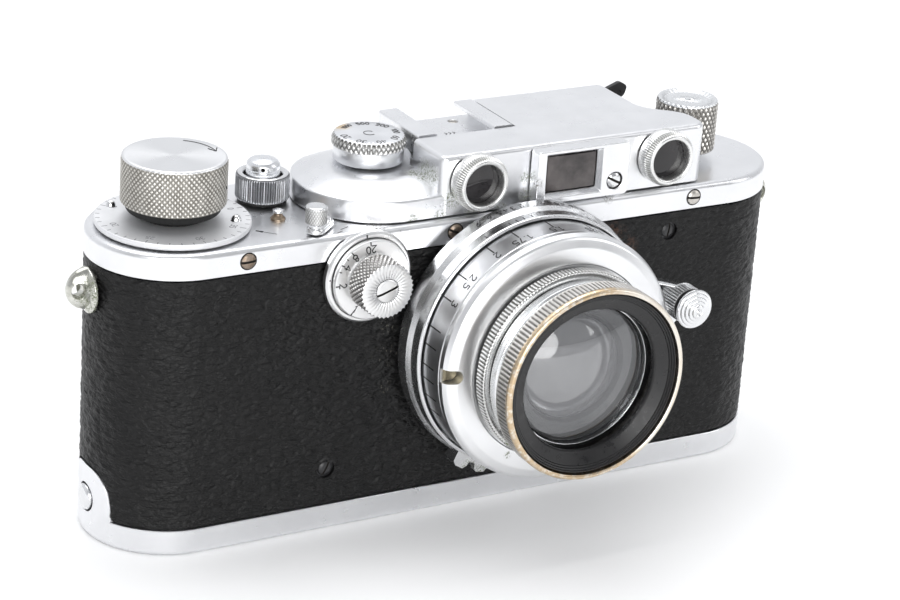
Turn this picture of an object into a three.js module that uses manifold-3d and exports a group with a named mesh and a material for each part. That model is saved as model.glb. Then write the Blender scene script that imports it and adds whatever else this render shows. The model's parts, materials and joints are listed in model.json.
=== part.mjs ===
// Rangefinder camera of the 1930s screw-mount kind, with a collapsible lens.
// Millimetres, +Z up. Origin: centre of the base plate's underside.
// +X runs along the body (the rewind end), -Y is the direction the lens points.
import * as THREE from 'three';
import { mergeVertices } from 'three/addons/utils/BufferGeometryUtils.js';
import Module from 'manifold-3d';

// ---------------------------------------------------------------- dimensions
const HALF = 51.9;            // body centre to the centre of each round end
const R_BODY = 14.6;          // half the body depth, over the covering
const R_COVER_IN = 13.9;      // inside of the covering
const R_SHELL = 13.6;         // outside of the body shell
const R_SHELL_IN = 12.4;      // inside of the body shell
const Z_FLOOR = 1.4;          // base plate floor thickness
const Z_RIM = 4.7;            // top of the base plate rim
const Z_SHELL0 = 2.5;         // lower lip of the shell
const Z_COVER0 = 5.0, Z_COVER1 = 50.2;
const Z_TOP0 = 50.5, Z_TOP1 = 55.0;
const Z_DECK0 = 50.6, Z_DECK1 = 51.4;
const Z_HOUSE0 = 55.25, Z_PLAT = 61.0, Z_HOUSE1 = 66.0;
const LX = 7.66, LZ = 33.5;   // lens axis
const KNOB = [-51.6, 0];      // winding knob axis
const SPRK = [-31.64, 1.2];   // sprocket axis
const DRUM = [-13.67, 2.2];   // shutter drum and speed dial axis
const RELEASE = [-32.5, 5.0]; // release button axis
const REWIND = [51.1, 0];     // rewind axis and base lock axis
const ROLLER = [31.5, 4.5];   // spring roller axis
const RFARM = [-9.5, -7.0];   // rangefinder arm pivot
const LEVER = [-28.3, -9.6];  // advance and rewind lever pivot
const SLOW = [-22.4, 47.3];   // slow speed dial axis (x, z)
const DIOPT = [37.5, 61.0];   // rangefinder eyepiece axis (x, z)
const VFEYE = [17.2, 61.0];   // viewfinder eyepiece axis (x, z)
const FKNOB = [33.9, 39.4];   // focusing knob axis (x, z)
const TUBE_R = 13.4;          // lens tube
const GEAR_M = 1.0;           // gear module
const N_BIG = 24, N_MED = 14, N_SML = 8;

const wasm = await Module();
wasm.setup();

// ------------------------------------------------------------------- helpers
function solid(geometry) {
  const g = geometry.clone();
  g.deleteAttribute('normal');
  g.deleteAttribute('uv');
  const m = mergeVertices(g, 1e-4);
  const p = m.attributes.position.array;
  const src = m.index.array;
  const tri = [];
  let vol = 0;
  for (let i = 0; i < src.length; i += 3) {
    const a = src[i], b = src[i + 1], c = src[i + 2];
    if (a === b || b === c || c === a) continue;
    tri.push(a, b, c);
    const ax = p[3 * a], ay = p[3 * a + 1], az = p[3 * a + 2];
    const bx = p[3 * b], by = p[3 * b + 1], bz = p[3 * b + 2];
    const cx = p[3 * c], cy = p[3 * c + 1], cz = p[3 * c + 2];
    vol += ax * (by * cz - bz * cy) + ay * (bz * cx - bx * cz) + az * (bx * cy - by * cx);
  }
  if (vol < 0) for (let i = 0; i < tri.length; i += 3) [tri[i + 1], tri[i + 2]] = [tri[i + 2], tri[i + 1]];
  const mf = new wasm.Manifold(new wasm.Mesh({
    numProp: 3, vertProperties: Float32Array.from(p), triVerts: Uint32Array.from(tri) }));
  return mf;
}
const root = new THREE.Group();
function add(mf, name, look) {
  const r = mf.getMesh();
  const g = new THREE.BufferGeometry();
  const n = r.numProp, pos = new Float32Array((r.vertProperties.length / n) * 3);
  for (let i = 0, j = 0; i < r.vertProperties.length; i += n, j += 3) {
    pos[j] = r.vertProperties[i]; pos[j + 1] = r.vertProperties[i + 1]; pos[j + 2] = r.vertProperties[i + 2];
  }
  g.setAttribute('position', new THREE.BufferAttribute(pos, 3));
  g.setIndex(new THREE.BufferAttribute(Uint32Array.from(r.triVerts), 1));
  g.computeVertexNormals();
  const mesh = new THREE.Mesh(g, look);
  mesh.name = name;
  root.add(mesh);
  return mesh;
}
// profile [[r, h], ...] turned about an axis through c; a profile off the axis is closed on itself
function lathe(axis, c, pts, seg) {
  const v = pts.map(([r, h]) => new THREE.Vector2(r, h));
  if (pts[0][0] > 1e-6 || pts[pts.length - 1][0] > 1e-6) v.push(v[0].clone());
  const g = new THREE.LatheGeometry(v, seg);
  if (axis === 'z') { g.rotateX(Math.PI / 2); g.translate(c[0], c[1], 0); }
  if (axis === 'y') g.translate(c[0], 0, c[1]);
  if (axis === 'x') { g.rotateZ(-Math.PI / 2); g.translate(0, c[0], c[1]); }
  return solid(g);
}
const cyl = (axis, c, r, h0, h1, seg) => lathe(axis, c, [[0, h0], [r, h0], [r, h1], [0, h1]], seg);
const ring = (axis, c, r0, r1, h0, h1, seg) => lathe(axis, c, [[r0, h0], [r1, h0], [r1, h1], [r0, h1]], seg);
function box(x0, x1, y0, y1, z0, z1) {
  const g = new THREE.BoxGeometry(x1 - x0, y1 - y0, z1 - z0);
  g.translate((x0 + x1) / 2, (y0 + y1) / 2, (z0 + z1) / 2);
  return solid(g);
}
function poly(pts) {
  const s = new THREE.Shape();
  s.moveTo(pts[0][0], pts[0][1]);
  for (let i = 1; i < pts.length; i++) s.lineTo(pts[i][0], pts[i][1]);
  s.closePath();
  return s;
}
function stadium(r, half = HALF) {
  const s = new THREE.Shape();
  s.moveTo(-half, -r);
  s.lineTo(half, -r);
  s.absarc(half, 0, r, -Math.PI / 2, Math.PI / 2, false);
  s.lineTo(-half, r);
  s.absarc(-half, 0, r, Math.PI / 2, 1.5 * Math.PI, false);
  return s;
}
function prismZ(shape, z0, z1, seg = 8) {
  const g = new THREE.ExtrudeGeometry(shape, { depth: z1 - z0, bevelEnabled: false, curveSegments: seg });
  g.translate(0, 0, z0);
  return solid(g);
}
// the shape's x and y become world x and z; it runs from y0 to y1
function prismY(shape, y0, y1, seg = 6) {
  const g = new THREE.ExtrudeGeometry(shape, { depth: y1 - y0, bevelEnabled: false, curveSegments: seg });
  g.rotateX(Math.PI / 2);
  g.translate(0, y1, 0);
  return solid(g);
}
// the shape's x and y become world y and z; it runs from x0 to x1
function prismX(shape, x0, x1, seg = 24) {
  const g = new THREE.ExtrudeGeometry(shape, { depth: x1 - x0, bevelEnabled: false, curveSegments: seg });
  g.rotateX(Math.PI / 2);
  g.rotateZ(Math.PI / 2);
  g.translate(x0, 0, 0);
  return solid(g);
}
// upright prism whose top edge is rounded inwards by size over height
function domedZ(shape, z0, z1, size, height, steps, seg = 8) {
  const g = new THREE.ExtrudeGeometry(shape, { depth: z1 - z0, bevelEnabled: true, bevelSize: size,
    bevelOffset: -size, bevelThickness: height, bevelSegments: steps, curveSegments: seg });
  g.translate(0, 0, z0 - height);
  return solid(g).intersect(box(-100, 100, -50, 50, z0, z1 + 50));
}
function gear(teeth, z0, z1, c, phase) {
  const rp = teeth * GEAR_M / 2, ra = rp + 0.62 * GEAR_M, rf = rp - 0.95 * GEAR_M;
  const pitch = 2 * Math.PI / teeth, pts = [];
  for (let i = 0; i < teeth; i++) {
    const a = phase + i * pitch;
    for (const [r, f] of [[rf, -0.25], [ra, -0.11], [ra, 0.11], [rf, 0.25]])
      pts.push([c[0] + r * Math.cos(a + f * pitch), c[1] + r * Math.sin(a + f * pitch)]);
  }
  return prismZ(poly(pts), z0, z1);
}
const look = (hex, rough, metal) => new THREE.MeshStandardMaterial({ color: hex, roughness: rough, metalness: metal });
const chrome = look(0xd9dade, 0.28, 1.0), satin = look(0xc6c8cc, 0.42, 1.0), black = look(0x141414, 0.55, 0.1);
const leather = look(0x1b1b1c, 0.75, 0.0), brass = look(0xb08d4c, 0.4, 1.0), steel = look(0x8d8f94, 0.45, 1.0);
const glass = look(0x6f757c, 0.05, 0.0);

// ------------------------------------------------------------- body and ends
// the ear at the left end: a superellipse, squarer than an ellipse at its upper corners
const EAR_A = 6.6, EAR_B = 9.1, EAR_Z = 4.0, EAR_N = 2.9;
const earShape = (g) => {
  const s = new THREE.Shape(), n = 36, p = 2 / EAR_N;
  for (let i = 0; i < n; i++) {
    const c = Math.cos(2 * Math.PI * i / n), d = Math.sin(2 * Math.PI * i / n);
    const y = (EAR_A + g) * Math.sign(c) * Math.abs(c) ** p, z = EAR_Z + (EAR_B + g) * Math.sign(d) * Math.abs(d) ** p;
    if (i) s.lineTo(y, z); else s.moveTo(y, z);
  }
  return s;
};
const lensHole = () => cyl('y', [LX, LZ], 16.1, -20, -8, N_BIG);
const slowHole = () => cyl('y', SLOW, 2.4, -20, -8, N_SML);
const SCREWS = [[-27.8, 11.6], [39.6, 46.7]];

let shell = prismZ(stadium(R_SHELL), Z_SHELL0, Z_COVER1).subtract(prismZ(stadium(R_SHELL_IN), 0, 60))
  .subtract(lensHole()).subtract(slowHole())
  .subtract(cyl('x', [0, 7.0], 1.3, -70, -60, N_SML))
  .subtract(cyl('x', [0, 45.3], 1.3, -70, -60, N_SML)).subtract(cyl('x', [0, 45.3], 1.3, 60, 70, N_SML));
for (const s of SCREWS) shell = shell.subtract(cyl('y', s, 0.9, -16, -8, 10));
add(shell, 'body_shell', steel);

let cover = prismZ(stadium(R_BODY), Z_COVER0, Z_COVER1).subtract(prismZ(stadium(R_COVER_IN), 0, 60))
  .subtract(lensHole()).subtract(cyl('y', SLOW, 2.6, -20, -8, N_SML))
  .subtract(prismX(earShape(0.35), -70, -52))
  .subtract(cyl('x', [0, 45.3], 1.5, -70, -60, N_SML)).subtract(cyl('x', [0, 45.3], 1.5, 60, 70, N_SML));
for (const s of SCREWS) cover = cover.subtract(cyl('y', s, 1.65, -16, -8, N_SML));
add(cover, 'body_covering', leather);

SCREWS.forEach((s, i) => add(
  lathe('y', s, [[0, -14.75], [1.1, -14.75], [1.35, -14.5], [1.35, -13.9], [0.6, -13.9], [0.6, -11.6], [0, -11.6]], 12)
    .subtract(box(s[0] - 2, s[0] + 2, -15, -14.45, s[1] - 0.18, s[1] + 0.18)),
  i ? 'front_screw_right' : 'front_screw_left', black));

// strap lugs: a round foot and an eye, screwed into the shell's round ends
for (const side of [-1, 1]) {
  const foot = lathe('x', [0, 45.3], [[0, side * 62.6], [1.0, side * 62.6], [1.0, side * 66.85], [4.0, side * 66.85],
    [4.0, side * 67.2], [3.0, side * 67.6], [0, side * 67.6]], N_MED);
  const ball = new THREE.SphereGeometry(1, 12, 8);
  ball.scale(3.9, 1.8, 3.8);
  ball.translate(side * 66.9, 0, 45.7);
  const keep = side < 0 ? box(-80, -66.85, -10, 10, 30, 60) : box(66.85, 80, -10, 10, 30, 60);
  const lug = foot.add(solid(ball).intersect(keep)).subtract(cyl('y', [side * 68.9, 45.7], 1.1, -8, 8, 12));
  add(lug, side < 0 ? 'strap_lug_left' : 'strap_lug_right', satin);
}
add(lathe('x', [0, 7.0], [[0, -63.6], [0.95, -63.6], [0.95, -65.85], [2.3, -65.85], [2.3, -66.8], [1.9, -67.1], [0, -67.1]], N_MED),
  'hook_stud', chrome);

// ---------------------------------------------------------------- base plate
const KEY_R = 8.9;
let base = prismZ(stadium(R_BODY), 0, Z_RIM).subtract(prismZ(stadium(R_COVER_IN), Z_FLOOR, 20));
const earBand = prismZ(stadium(R_BODY), 3.0, 14).subtract(prismZ(stadium(R_COVER_IN), 0, 20))
  .intersect(prismX(earShape(0), -70, -52));
base = base.add(earBand).add(cyl('z', REWIND, 11.6, 0.5, 3.3, N_BIG))
  .subtract(cyl('x', [0, 7.0], 2.65, -70, -60, N_MED))
  .subtract(cyl('z', REWIND, KEY_R + 0.3, -5, 2.3, N_BIG))
  .subtract(cyl('z', REWIND, 3.0, -5, 9, N_MED))
  .subtract(cyl('z', KNOB, 6.2, -5, 9, N_MED));
add(base, 'base_plate', chrome);
add(lathe('z', KNOB, [[0, 7.0], [4.76, 7.0], [4.76, 0], [5.9, 0], [5.9, 1.7], [7.4, 1.7], [7.4, 8.0], [0, 8.0]], N_MED),
  'tripod_bush', brass);

const halfRing = (r0, r1) => {
  const s = new THREE.Shape();
  s.absarc(REWIND[0], REWIND[1], r1, Math.PI, 2 * Math.PI, false);
  s.absarc(REWIND[0], REWIND[1], r0, 2 * Math.PI, Math.PI, true);
  return s;
};
const keyDisc = lathe('z', REWIND, [[0, 0.3], [KEY_R, 0.3], [KEY_R, 2.0], [2.7, 2.0], [2.7, 3.6], [7.6, 3.6], [7.6, 5.0], [0, 5.0]], N_MED)
  .subtract(prismZ(halfRing(5.1, 8.2), -1, 1.45, 8))
  .subtract(box(REWIND[0] - 8.1, REWIND[0] + 8.1, -0.9, 0.9, -1, 1.45))
  .subtract(box(REWIND[0] + 4.5, REWIND[0] + 9, -3, 3, 3.3, 6));
add(keyDisc, 'lock_key', chrome);
add(prismZ(halfRing(5.6, 7.6), 0.35, 1.15, 8)
  .add(cyl('x', [0, 0.75], 0.4, REWIND[0] - 7.6, REWIND[0] + 7.6, 8)), 'lock_handle', chrome);

// ----------------------------------------------------------------- top plate
let top = domedZ(stadium(R_BODY), Z_TOP0, Z_TOP1, 0.8, 0.8, 2)
  .subtract(prismZ(stadium(R_SHELL), 40, 54))
  .subtract(cyl('z', KNOB, 2.9, 40, 60, N_SML)).subtract(cyl('z', RELEASE, 1.8, 40, 60, N_SML))
  .subtract(cyl('z', DRUM, 3.1, 40, 60, N_SML)).subtract(cyl('z', REWIND, 2.2, 40, 60, N_SML))
  .subtract(cyl('z', LEVER, 1.2, 40, 60, 12))
  .subtract(cyl('y', SLOW, 2.4, -20, -8, N_SML));
for (const x of [-44.5, -5.1, 44.1]) top = top.subtract(cyl('y', [x, 52.7], 0.85, -16, -12, 10));
top = top.add(lathe('z', [-34.0, -4.2], [[0, 54.5], [1.9, 54.5], [1.9, 55.3], [1.25, 55.6], [1.25, 56.8], [0, 57.0]], N_SML));
add(top, 'top_plate', chrome);
[-44.5, -5.1, 44.1].forEach((x, i) => add(
  lathe('y', [x, 52.7], [[0, -15.6], [1.0, -15.6], [1.4, -15.2], [1.4, -14.9], [0.55, -14.9], [0.55, -12.9], [0, -12.9]], 12)
    .subtract(box(x - 2, x + 2, -16, -15.25, 52.52, 52.88)),
  ['top_screw_left', 'top_screw_middle', 'top_screw_right'][i], satin));

// ------------------------------------------------------------ finder housing
function platform(d, z0) {
  const r = 13.95 - d, s = new THREE.Shape();
  s.absarc(-13.9, 0.65, r, Math.PI / 2, 1.5 * Math.PI, false);
  s.lineTo(20, 0.65 - r);
  s.lineTo(20, 0.65 + r);
  s.closePath();
  return domedZ(s, z0, Z_PLAT - d, 6.3 - d * 0.4, 2.0, 2, 12).intersect(box(-60, 19, -13.4 + d, 12.6 - d, 50, 80));
}
const boxOutline = (d) => poly([[-7.8 + d, -13.4 + d], [44.4 - d, -13.4 + d], [45.8 - d, -12.7 + d], [46.5 - d, -11.2 + d],
  [46.5 - d, -8.6], [45.8 - d, -6.4 - d * 0.5], [44.2 - d, -4.6 - d * 0.5], [42.2 - d, -3.0 - d * 0.3], [40.7 - d, -1.0],
  [40.1 - d, 1.4], [40.1 - d, 12.6 - d], [-7.8 + d, 12.6 - d]]);
const SHOE = { x0: -6.7, x1: 12.3, y0: -2.9, y1: 12.3 };
let house = domedZ(boxOutline(0), Z_HOUSE0, Z_HOUSE1, 0.6, 0.6, 1)
  .subtract(cyl('z', DRUM, 7.4, Z_PLAT, 80, N_BIG))
  .subtract(box(-9, SHOE.x1 + 0.3, SHOE.y0 - 0.3, 20, 62.4, 80))
  .add(platform(0, Z_HOUSE0));
const cavity = prismZ(boxOutline(1.1), 50, Z_HOUSE1 - 1)
  .subtract(cyl('z', DRUM, 8.5, Z_PLAT - 1, 80, N_BIG))
  .subtract(box(-10, SHOE.x1 + 1.3, SHOE.y0 - 1.3, 20, 61.4, 80))
  .add(platform(1.1, 50));
house = house.subtract(cavity)
  .subtract(cyl('z', DRUM, 3.1, 50, 80, N_MED))
  .subtract(cyl('y', [-1.1, 61.3], 4.0, -20, -8, N_MED)).subtract(cyl('y', [37.0, 61.3], 4.0, -20, -8, N_MED))
  .subtract(box(12.0, 22.4, -20, -8, 57.6, 64.5))
  .subtract(cyl('y', VFEYE, 2.8, 8, 20, N_MED)).subtract(cyl('y', DIOPT, 3.0, 8, 20, N_MED));
add(house, 'finder_housing', chrome);

const shoe = prismY(poly([[SHOE.x0, 62.7], [SHOE.x1, 62.7], [SHOE.x1, 66.5], [SHOE.x1 - 3.8, 66.5], [SHOE.x1 - 3.8, 65.5],
  [SHOE.x1 - 0.7, 65.5], [SHOE.x1 - 0.7, 63.5], [SHOE.x0 + 0.7, 63.5], [SHOE.x0 + 0.7, 65.5], [SHOE.x0 + 3.8, 65.5],
  [SHOE.x0 + 3.8, 66.5], [SHOE.x0, 66.5]]), SHOE.y0, SHOE.y1);
add(shoe, 'accessory_shoe', chrome);

for (const [x, tag] of [[-1.1, 'left'], [37.0, 'right']]) {
  add(lathe('y', [x, 61.3], [[3.85, -13.7], [5.0, -13.7], [5.0, -16.4], [4.5, -17.0], [3.85, -17.0]], N_MED), 'rf_bezel_' + tag, satin);
  add(cyl('y', [x, 61.3], 3.55, -15.9, -14.9, N_MED), 'rf_glass_' + tag, glass);
}
add(box(9.7, 28.5, -16.2, -13.7, 56.0, 65.7).subtract(box(12.0, 22.4, -20, -8, 57.6, 64.5)), 'viewfinder_frame', chrome);
add(box(12.3, 22.1, -15.2, -14.2, 57.9, 64.2), 'viewfinder_glass', glass);
add(lathe('y', VFEYE, [[2.5, 12.9], [4.4, 12.9], [4.4, 14.6], [4.0, 15.0], [2.5, 15.0]], N_MED), 'viewfinder_eyepiece', black);
add(lathe('y', DIOPT, [[2.7, 12.9], [4.5, 12.9], [4.5, 14.8], [4.1, 15.2], [2.7, 15.2]], N_MED)
  .add(prismY(poly([[DIOPT[0] + 3.6, 59.9], [DIOPT[0] + 8.6, 60.1], [DIOPT[0] + 9.2, 61.0], [DIOPT[0] + 8.6, 61.9], [DIOPT[0] + 3.6, 62.1]]), 13.2, 14.4)),
  'dioptre_ring', black);

// ------------------------------------------------ winding side and its gears
add(lathe('z', KNOB, [[0, 62.0], [2.5, 62.0], [2.5, 56.6], [5.6, 56.6], [5.6, 59.4], [8.3, 59.4], [8.84, 59.9], [8.84, 66.9],
  [8.3, 67.4], [0, 67.4]], N_BIG), 'advance_knob', chrome);
add(gear(20, 48.6, 50.1, KNOB, Math.atan2(SPRK[1] - KNOB[1], SPRK[0] - KNOB[0]))
  .add(cyl('z', KNOB, 2.2, 12.0, 61.7, N_SML)), 'winding_shaft', brass);
add(lathe('z', KNOB, [[2.5, 15.0], [11.0, 15.0], [11.0, 16.0], [5.5, 16.0], [5.5, 47.0], [11.0, 47.0], [11.0, 48.0], [2.5, 48.0]], N_MED),
  'takeup_spool', black);
const dial = ring('z', KNOB, 2.9, 13.25, 55.3, 56.3, N_BIG)
  .add(cyl('z', [KNOB[0] - 9.2, KNOB[1] + 5.2], 0.85, 56.0, 57.3, 10))
  .add(cyl('z', [KNOB[0] + 9.2, KNOB[1] - 5.2], 0.85, 56.0, 57.3, 10));
add(dial, 'counter_dial', satin);

const spAng = Math.atan2(KNOB[1] - SPRK[1], KNOB[0] - SPRK[0]);      // from the sprocket to the knob
const drAng = Math.atan2(DRUM[1] - SPRK[1], DRUM[0] - SPRK[0]);      // from the sprocket to the drum
const P20 = 2 * Math.PI / 20, P16 = 2 * Math.PI / 16;
const spPhase = spAng + P20 / 2;
const star = (z0, z1) => {
  const pts = [];
  for (let i = 0; i < 8; i++) {
    const a = i * Math.PI / 4;
    for (const [r, d] of [[5.75, -0.16], [6.9, -0.08], [6.9, 0.08], [5.75, 0.16]])
      pts.push([SPRK[0] + r * Math.cos(a + d), SPRK[1] + r * Math.sin(a + d)]);
  }
  return prismZ(poly(pts), z0, z1);
};
add(cyl('z', SPRK, 1.8, 12.0, 50.9, N_SML).add(star(17.0, 19.0)).add(star(45.0, 47.0))
  .add(cyl('z', SPRK, 4.6, 18.0, 46.0, N_SML)).add(gear(20, 48.6, 50.1, SPRK, spPhase)), 'sprocket', steel);
// the drum gear has a gap where the sprocket gear has a tooth on the line of centres, and the other way round
const k = Math.round((drAng - spPhase) / P20);
const off = (drAng - (spPhase + k * P20)) / P20;                     // how far that tooth is off the line
const drPhase = drAng + Math.PI + P16 / 2 + off * P16;
add(cyl('z', DRUM, 1.3, 12.0, 63.0, N_SML).add(cyl('z', DRUM, 5.0, 14.0, 46.4, N_MED))
  .add(gear(16, 48.6, 50.1, DRUM, drPhase)), 'shutter_drum', brass);
add(ring('z', DRUM, 1.7, 2.7, 56.5, 61.2, N_SML), 'speed_dial_sleeve', steel);
add(lathe('z', DRUM, [[0, 64.6], [1.7, 64.6], [1.7, 61.5], [6.2, 61.5], [6.2, 64.0], [6.6, 64.3], [6.6, 65.5], [6.2, 66.0], [0, 66.0]], N_MED),
  'speed_dial', chrome);
add(lathe('z', ROLLER, [[0, 9.0], [1.2, 9.0], [1.2, 13.0], [3.2, 13.0], [3.2, 46.0], [1.2, 46.0], [1.2, 50.2], [0, 50.2]], N_SML),
  'spring_roller', brass);

// ---------------------------------------------- release, rewind lever, knobs
add(lathe('z', RELEASE, [[3.3, 55.3], [4.7, 55.3], [4.7, 59.6], [4.2, 60.3], [3.3, 60.3]], N_MED), 'release_collar', satin);
add(lathe('z', RELEASE, [[0, 52.7], [1.4, 52.7], [1.4, 58.2], [2.95, 58.2], [2.95, 61.4], [2.2, 62.5], [0, 62.9]], N_MED), 'release_button', chrome);
const armDir = Math.atan2(-12.5 - LEVER[1], -31.1 - LEVER[0]);
const armShape = () => {
  const s = new THREE.Shape(), c = LEVER, e = [-31.1, -12.5];
  s.absarc(c[0], c[1], 1.9, armDir + Math.PI / 2, armDir + 1.5 * Math.PI, false);
  s.absarc(e[0], e[1], 1.5, armDir + 1.5 * Math.PI, armDir + 2.5 * Math.PI, false);
  s.closePath();
  return s;
};
add(prismZ(armShape(), 55.3, 56.3, 8)
  .add(cyl('z', LEVER, 0.9, 53.0, 56.0, 10)).add(cyl('z', LEVER, 1.3, 56.0, 57.0, 10))
  .add(lathe('z', [-31.1, -12.5], [[0, 56.0], [1.9, 56.5], [1.9, 59.7], [1.5, 60.1], [0, 60.1]], N_SML)), 'rewind_lever', chrome);

add(lathe('y', SLOW, [[2.4, -14.9], [8.2, -14.9], [8.2, -16.0], [7.8, -16.4], [2.4, -16.4]], N_MED), 'slow_dial_base', satin);
add(lathe('y', SLOW, [[0, -10.8], [1.9, -10.8], [1.9, -16.7], [7.2, -16.7], [7.2, -17.4], [6.9, -17.7], [0, -17.7]], N_MED),
  'slow_speed_dial', chrome);
add(lathe('y', SLOW, [[0, -18.0], [4.7, -18.0], [5.0, -18.3], [5.0, -22.4], [4.6, -22.8], [2.4, -22.8], [2.4, -21.6], [0, -21.6]], N_MED),
  'slow_speed_knob', chrome);
add(lathe('y', SLOW, [[0, -21.9], [2.1, -21.9], [2.1, -22.7], [1.7, -23.0], [0, -23.0]], N_SML)
  .subtract(box(SLOW[0] - 3, SLOW[0] + 3, -24, -22.5, SLOW[1] - 0.25, SLOW[1] + 0.25)), 'slow_speed_screw', satin);

add(lathe('z', REWIND, [[0, 41.0], [1.8, 41.0], [1.8, 64.0], [0, 64.0]], N_SML)
  .add(box(REWIND[0] - 2.6, REWIND[0] + 2.6, -0.9, 0.9, 40.0, 44.0))
  .subtract(box(REWIND[0] - 0.9, REWIND[0] + 0.9, -3, 3, 38, 42.6)), 'rewind_shaft', steel);
add(lathe('z', REWIND, [[0, 64.6], [2.1, 64.6], [2.1, 55.6], [3.4, 55.6], [3.4, 56.6], [5.3, 56.6], [5.7, 57.0], [5.7, 65.7],
  [5.3, 66.1], [3.2, 65.6], [0, 65.6]], N_MED), 'rewind_knob', chrome);

// ------------------------------------------------------------- inside frames
let chassis = prismZ(stadium(13.2), Z_DECK0, Z_DECK1)
  .add(box(-24, 36, 9.6, 11.0, 6.0, 51.0)).add(box(36, 37.2, -9.0, 11.0, 6.0, 51.0))
  .subtract(box(-10.34, 25.66, 5, 15, 21.5, 45.5))
  .subtract(cyl('z', DRUM, 9.1, 48.2, 50.5, N_MED)).subtract(cyl('z', SPRK, 11.2, 48.2, 50.5, N_MED))
  .subtract(cyl('z', KNOB, 2.9, 40, 60, N_SML)).subtract(cyl('z', SPRK, 2.1, 50.2, 60, N_SML))
  .subtract(cyl('z', DRUM, 1.6, 50.2, 60, N_SML)).subtract(cyl('z', REWIND, 2.2, 40, 60, N_SML))
  .subtract(cyl('z', RFARM, 1.5, 50.2, 60, 12)).subtract(cyl('z', RELEASE, 1.8, 50.2, 60, N_SML))
  .subtract(box(SLOW[0] - 3.2, SLOW[0] + 3.2, -16, -8.0, 50, 60));
add(chassis, 'inner_chassis', steel);
add(box(-15, 30, 11.3, 12.1, 16.0, 50.0), 'pressure_plate', black);
add(box(-9.5, 26.5, 8.6, 9.3, 19.0, 47.5), 'shutter_curtain', black);

// rangefinder arm: spindle, arm, and a round nose behind the helicoid ring
const NOSE_R = 2.0, noseY = -8.5 + 0.15 + NOSE_R;
const arm = (() => {
  const s = new THREE.Shape(), e = [LX, noseY], a = Math.atan2(e[1] - RFARM[1], e[0] - RFARM[0]);
  s.absarc(RFARM[0], RFARM[1], 1.9, a + Math.PI / 2, a + 1.5 * Math.PI, false);
  s.absarc(e[0], e[1], 0.7, a + 1.5 * Math.PI, a + 2.5 * Math.PI, false);
  s.closePath();
  return prismZ(s, 47.2, 48.2, 6).add(cyl('z', e, NOSE_R, 47.2, 48.2, 24)).add(cyl('z', RFARM, 1.2, 45.5, 53.0, 12));
})();
add(arm, 'rangefinder_arm', steel);

// ---------------------------------------------------------------------- lens
const L = [LX, LZ];
add(lathe('y', L, [[14.9, -10.0], [15.8, -10.0], [15.8, -14.9], [21.8, -14.9], [21.8, -16.2], [14.9, -16.2]], N_BIG), 'body_flange', chrome);

const polar = (r, deg) => [LX + r * Math.cos(deg * Math.PI / 180), LZ + r * Math.sin(deg * Math.PI / 180)];
const sector = (r0, r1, a0, a1, n) => {
  const pts = [];
  for (let i = 0; i <= n; i++) pts.push(polar(r1, a0 + (a1 - a0) * i / n));
  for (let i = n; i >= 0; i--) pts.push(polar(r0, a0 + (a1 - a0) * i / n));
  return poly(pts);
};
// fixed focusing mount with its collar, and the infinity catch at its lower left
add(lathe('y', L, [[14.9, -16.5], [23.85, -16.5], [23.85, -19.6], [23.2, -20.6], [23.05, -22.8], [22.7, -22.8], [22.7, -18.0], [14.9, -18.0]], N_BIG)
  .add(prismY(sector(22.9, 26.2, -121, -103, 4), -20.0, -16.9))
  .subtract(prismY(sector(24.6, 27.5, -114.5, -109.5, 2), -21, -18.6)), 'lens_mount_base', chrome);
add(ring('y', L, 13.7, 14.6, -27.0, -8.5, N_BIG), 'helicoid_ring', brass);
add(lathe('y', L, [[20.6, -20.4], [22.4, -20.4], [22.4, -28.3], [20.6, -28.3]], N_BIG), 'distance_ring', chrome);
add(lathe('y', L, [[13.7, -28.6], [22.5, -28.6], [22.66, -29.2], [22.66, -30.2], [21.9, -31.0], [18.3, -31.7], [13.7, -31.7]], N_BIG)
  .subtract(cyl('y', polar(20.55, 180), 1.4, -33, -30.4, 12)), 'focus_flange', chrome);
add(lathe('y', L, [[13.7, -32.0], [16.9, -32.0], [17.4, -32.3], [17.4, -34.0], [17.0, -34.4], [13.7, -34.4]], N_BIG), 'bayonet_ring', satin);
// lever: an arm from the distance ring to the ribbed collar of the focusing knob
const leverAng = Math.atan2(FKNOB[1] - LZ, FKNOB[0] - LX);
const leverShape = (() => {
  const a = leverAng, pts = [];
  const deg = a * 180 / Math.PI;
  for (let i = 0; i <= 4; i++) pts.push(polar(22.75, deg - 13 + 26 * i / 4));
  for (let i = 0; i <= 6; i++) {
    const t = a + Math.PI * 0.45 - Math.PI * 0.9 * i / 6;
    pts.push([FKNOB[0] + 2.6 * Math.cos(t), FKNOB[1] + 2.6 * Math.sin(t)]);
  }
  return poly(pts);
})();
add(prismY(leverShape, -28.2, -25.2)
  .add(lathe('y', FKNOB, [[0, -24.6], [2.2, -24.6], [2.6, -25.0], [2.6, -27.6], [3.3, -27.9], [3.3, -30.6], [0, -30.6]], N_MED))
  .subtract(cyl('y', FKNOB, 1.3, -32, -27.0, 10)), 'focus_lever', chrome);
add(lathe('y', FKNOB, [[0, -28.6], [1.0, -28.6], [1.0, -31.8], [3.6, -31.8], [3.6, -32.6], [2.5, -33.3], [1.2, -34.0], [0, -34.2]], N_MED),
  'infinity_button', chrome);

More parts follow.
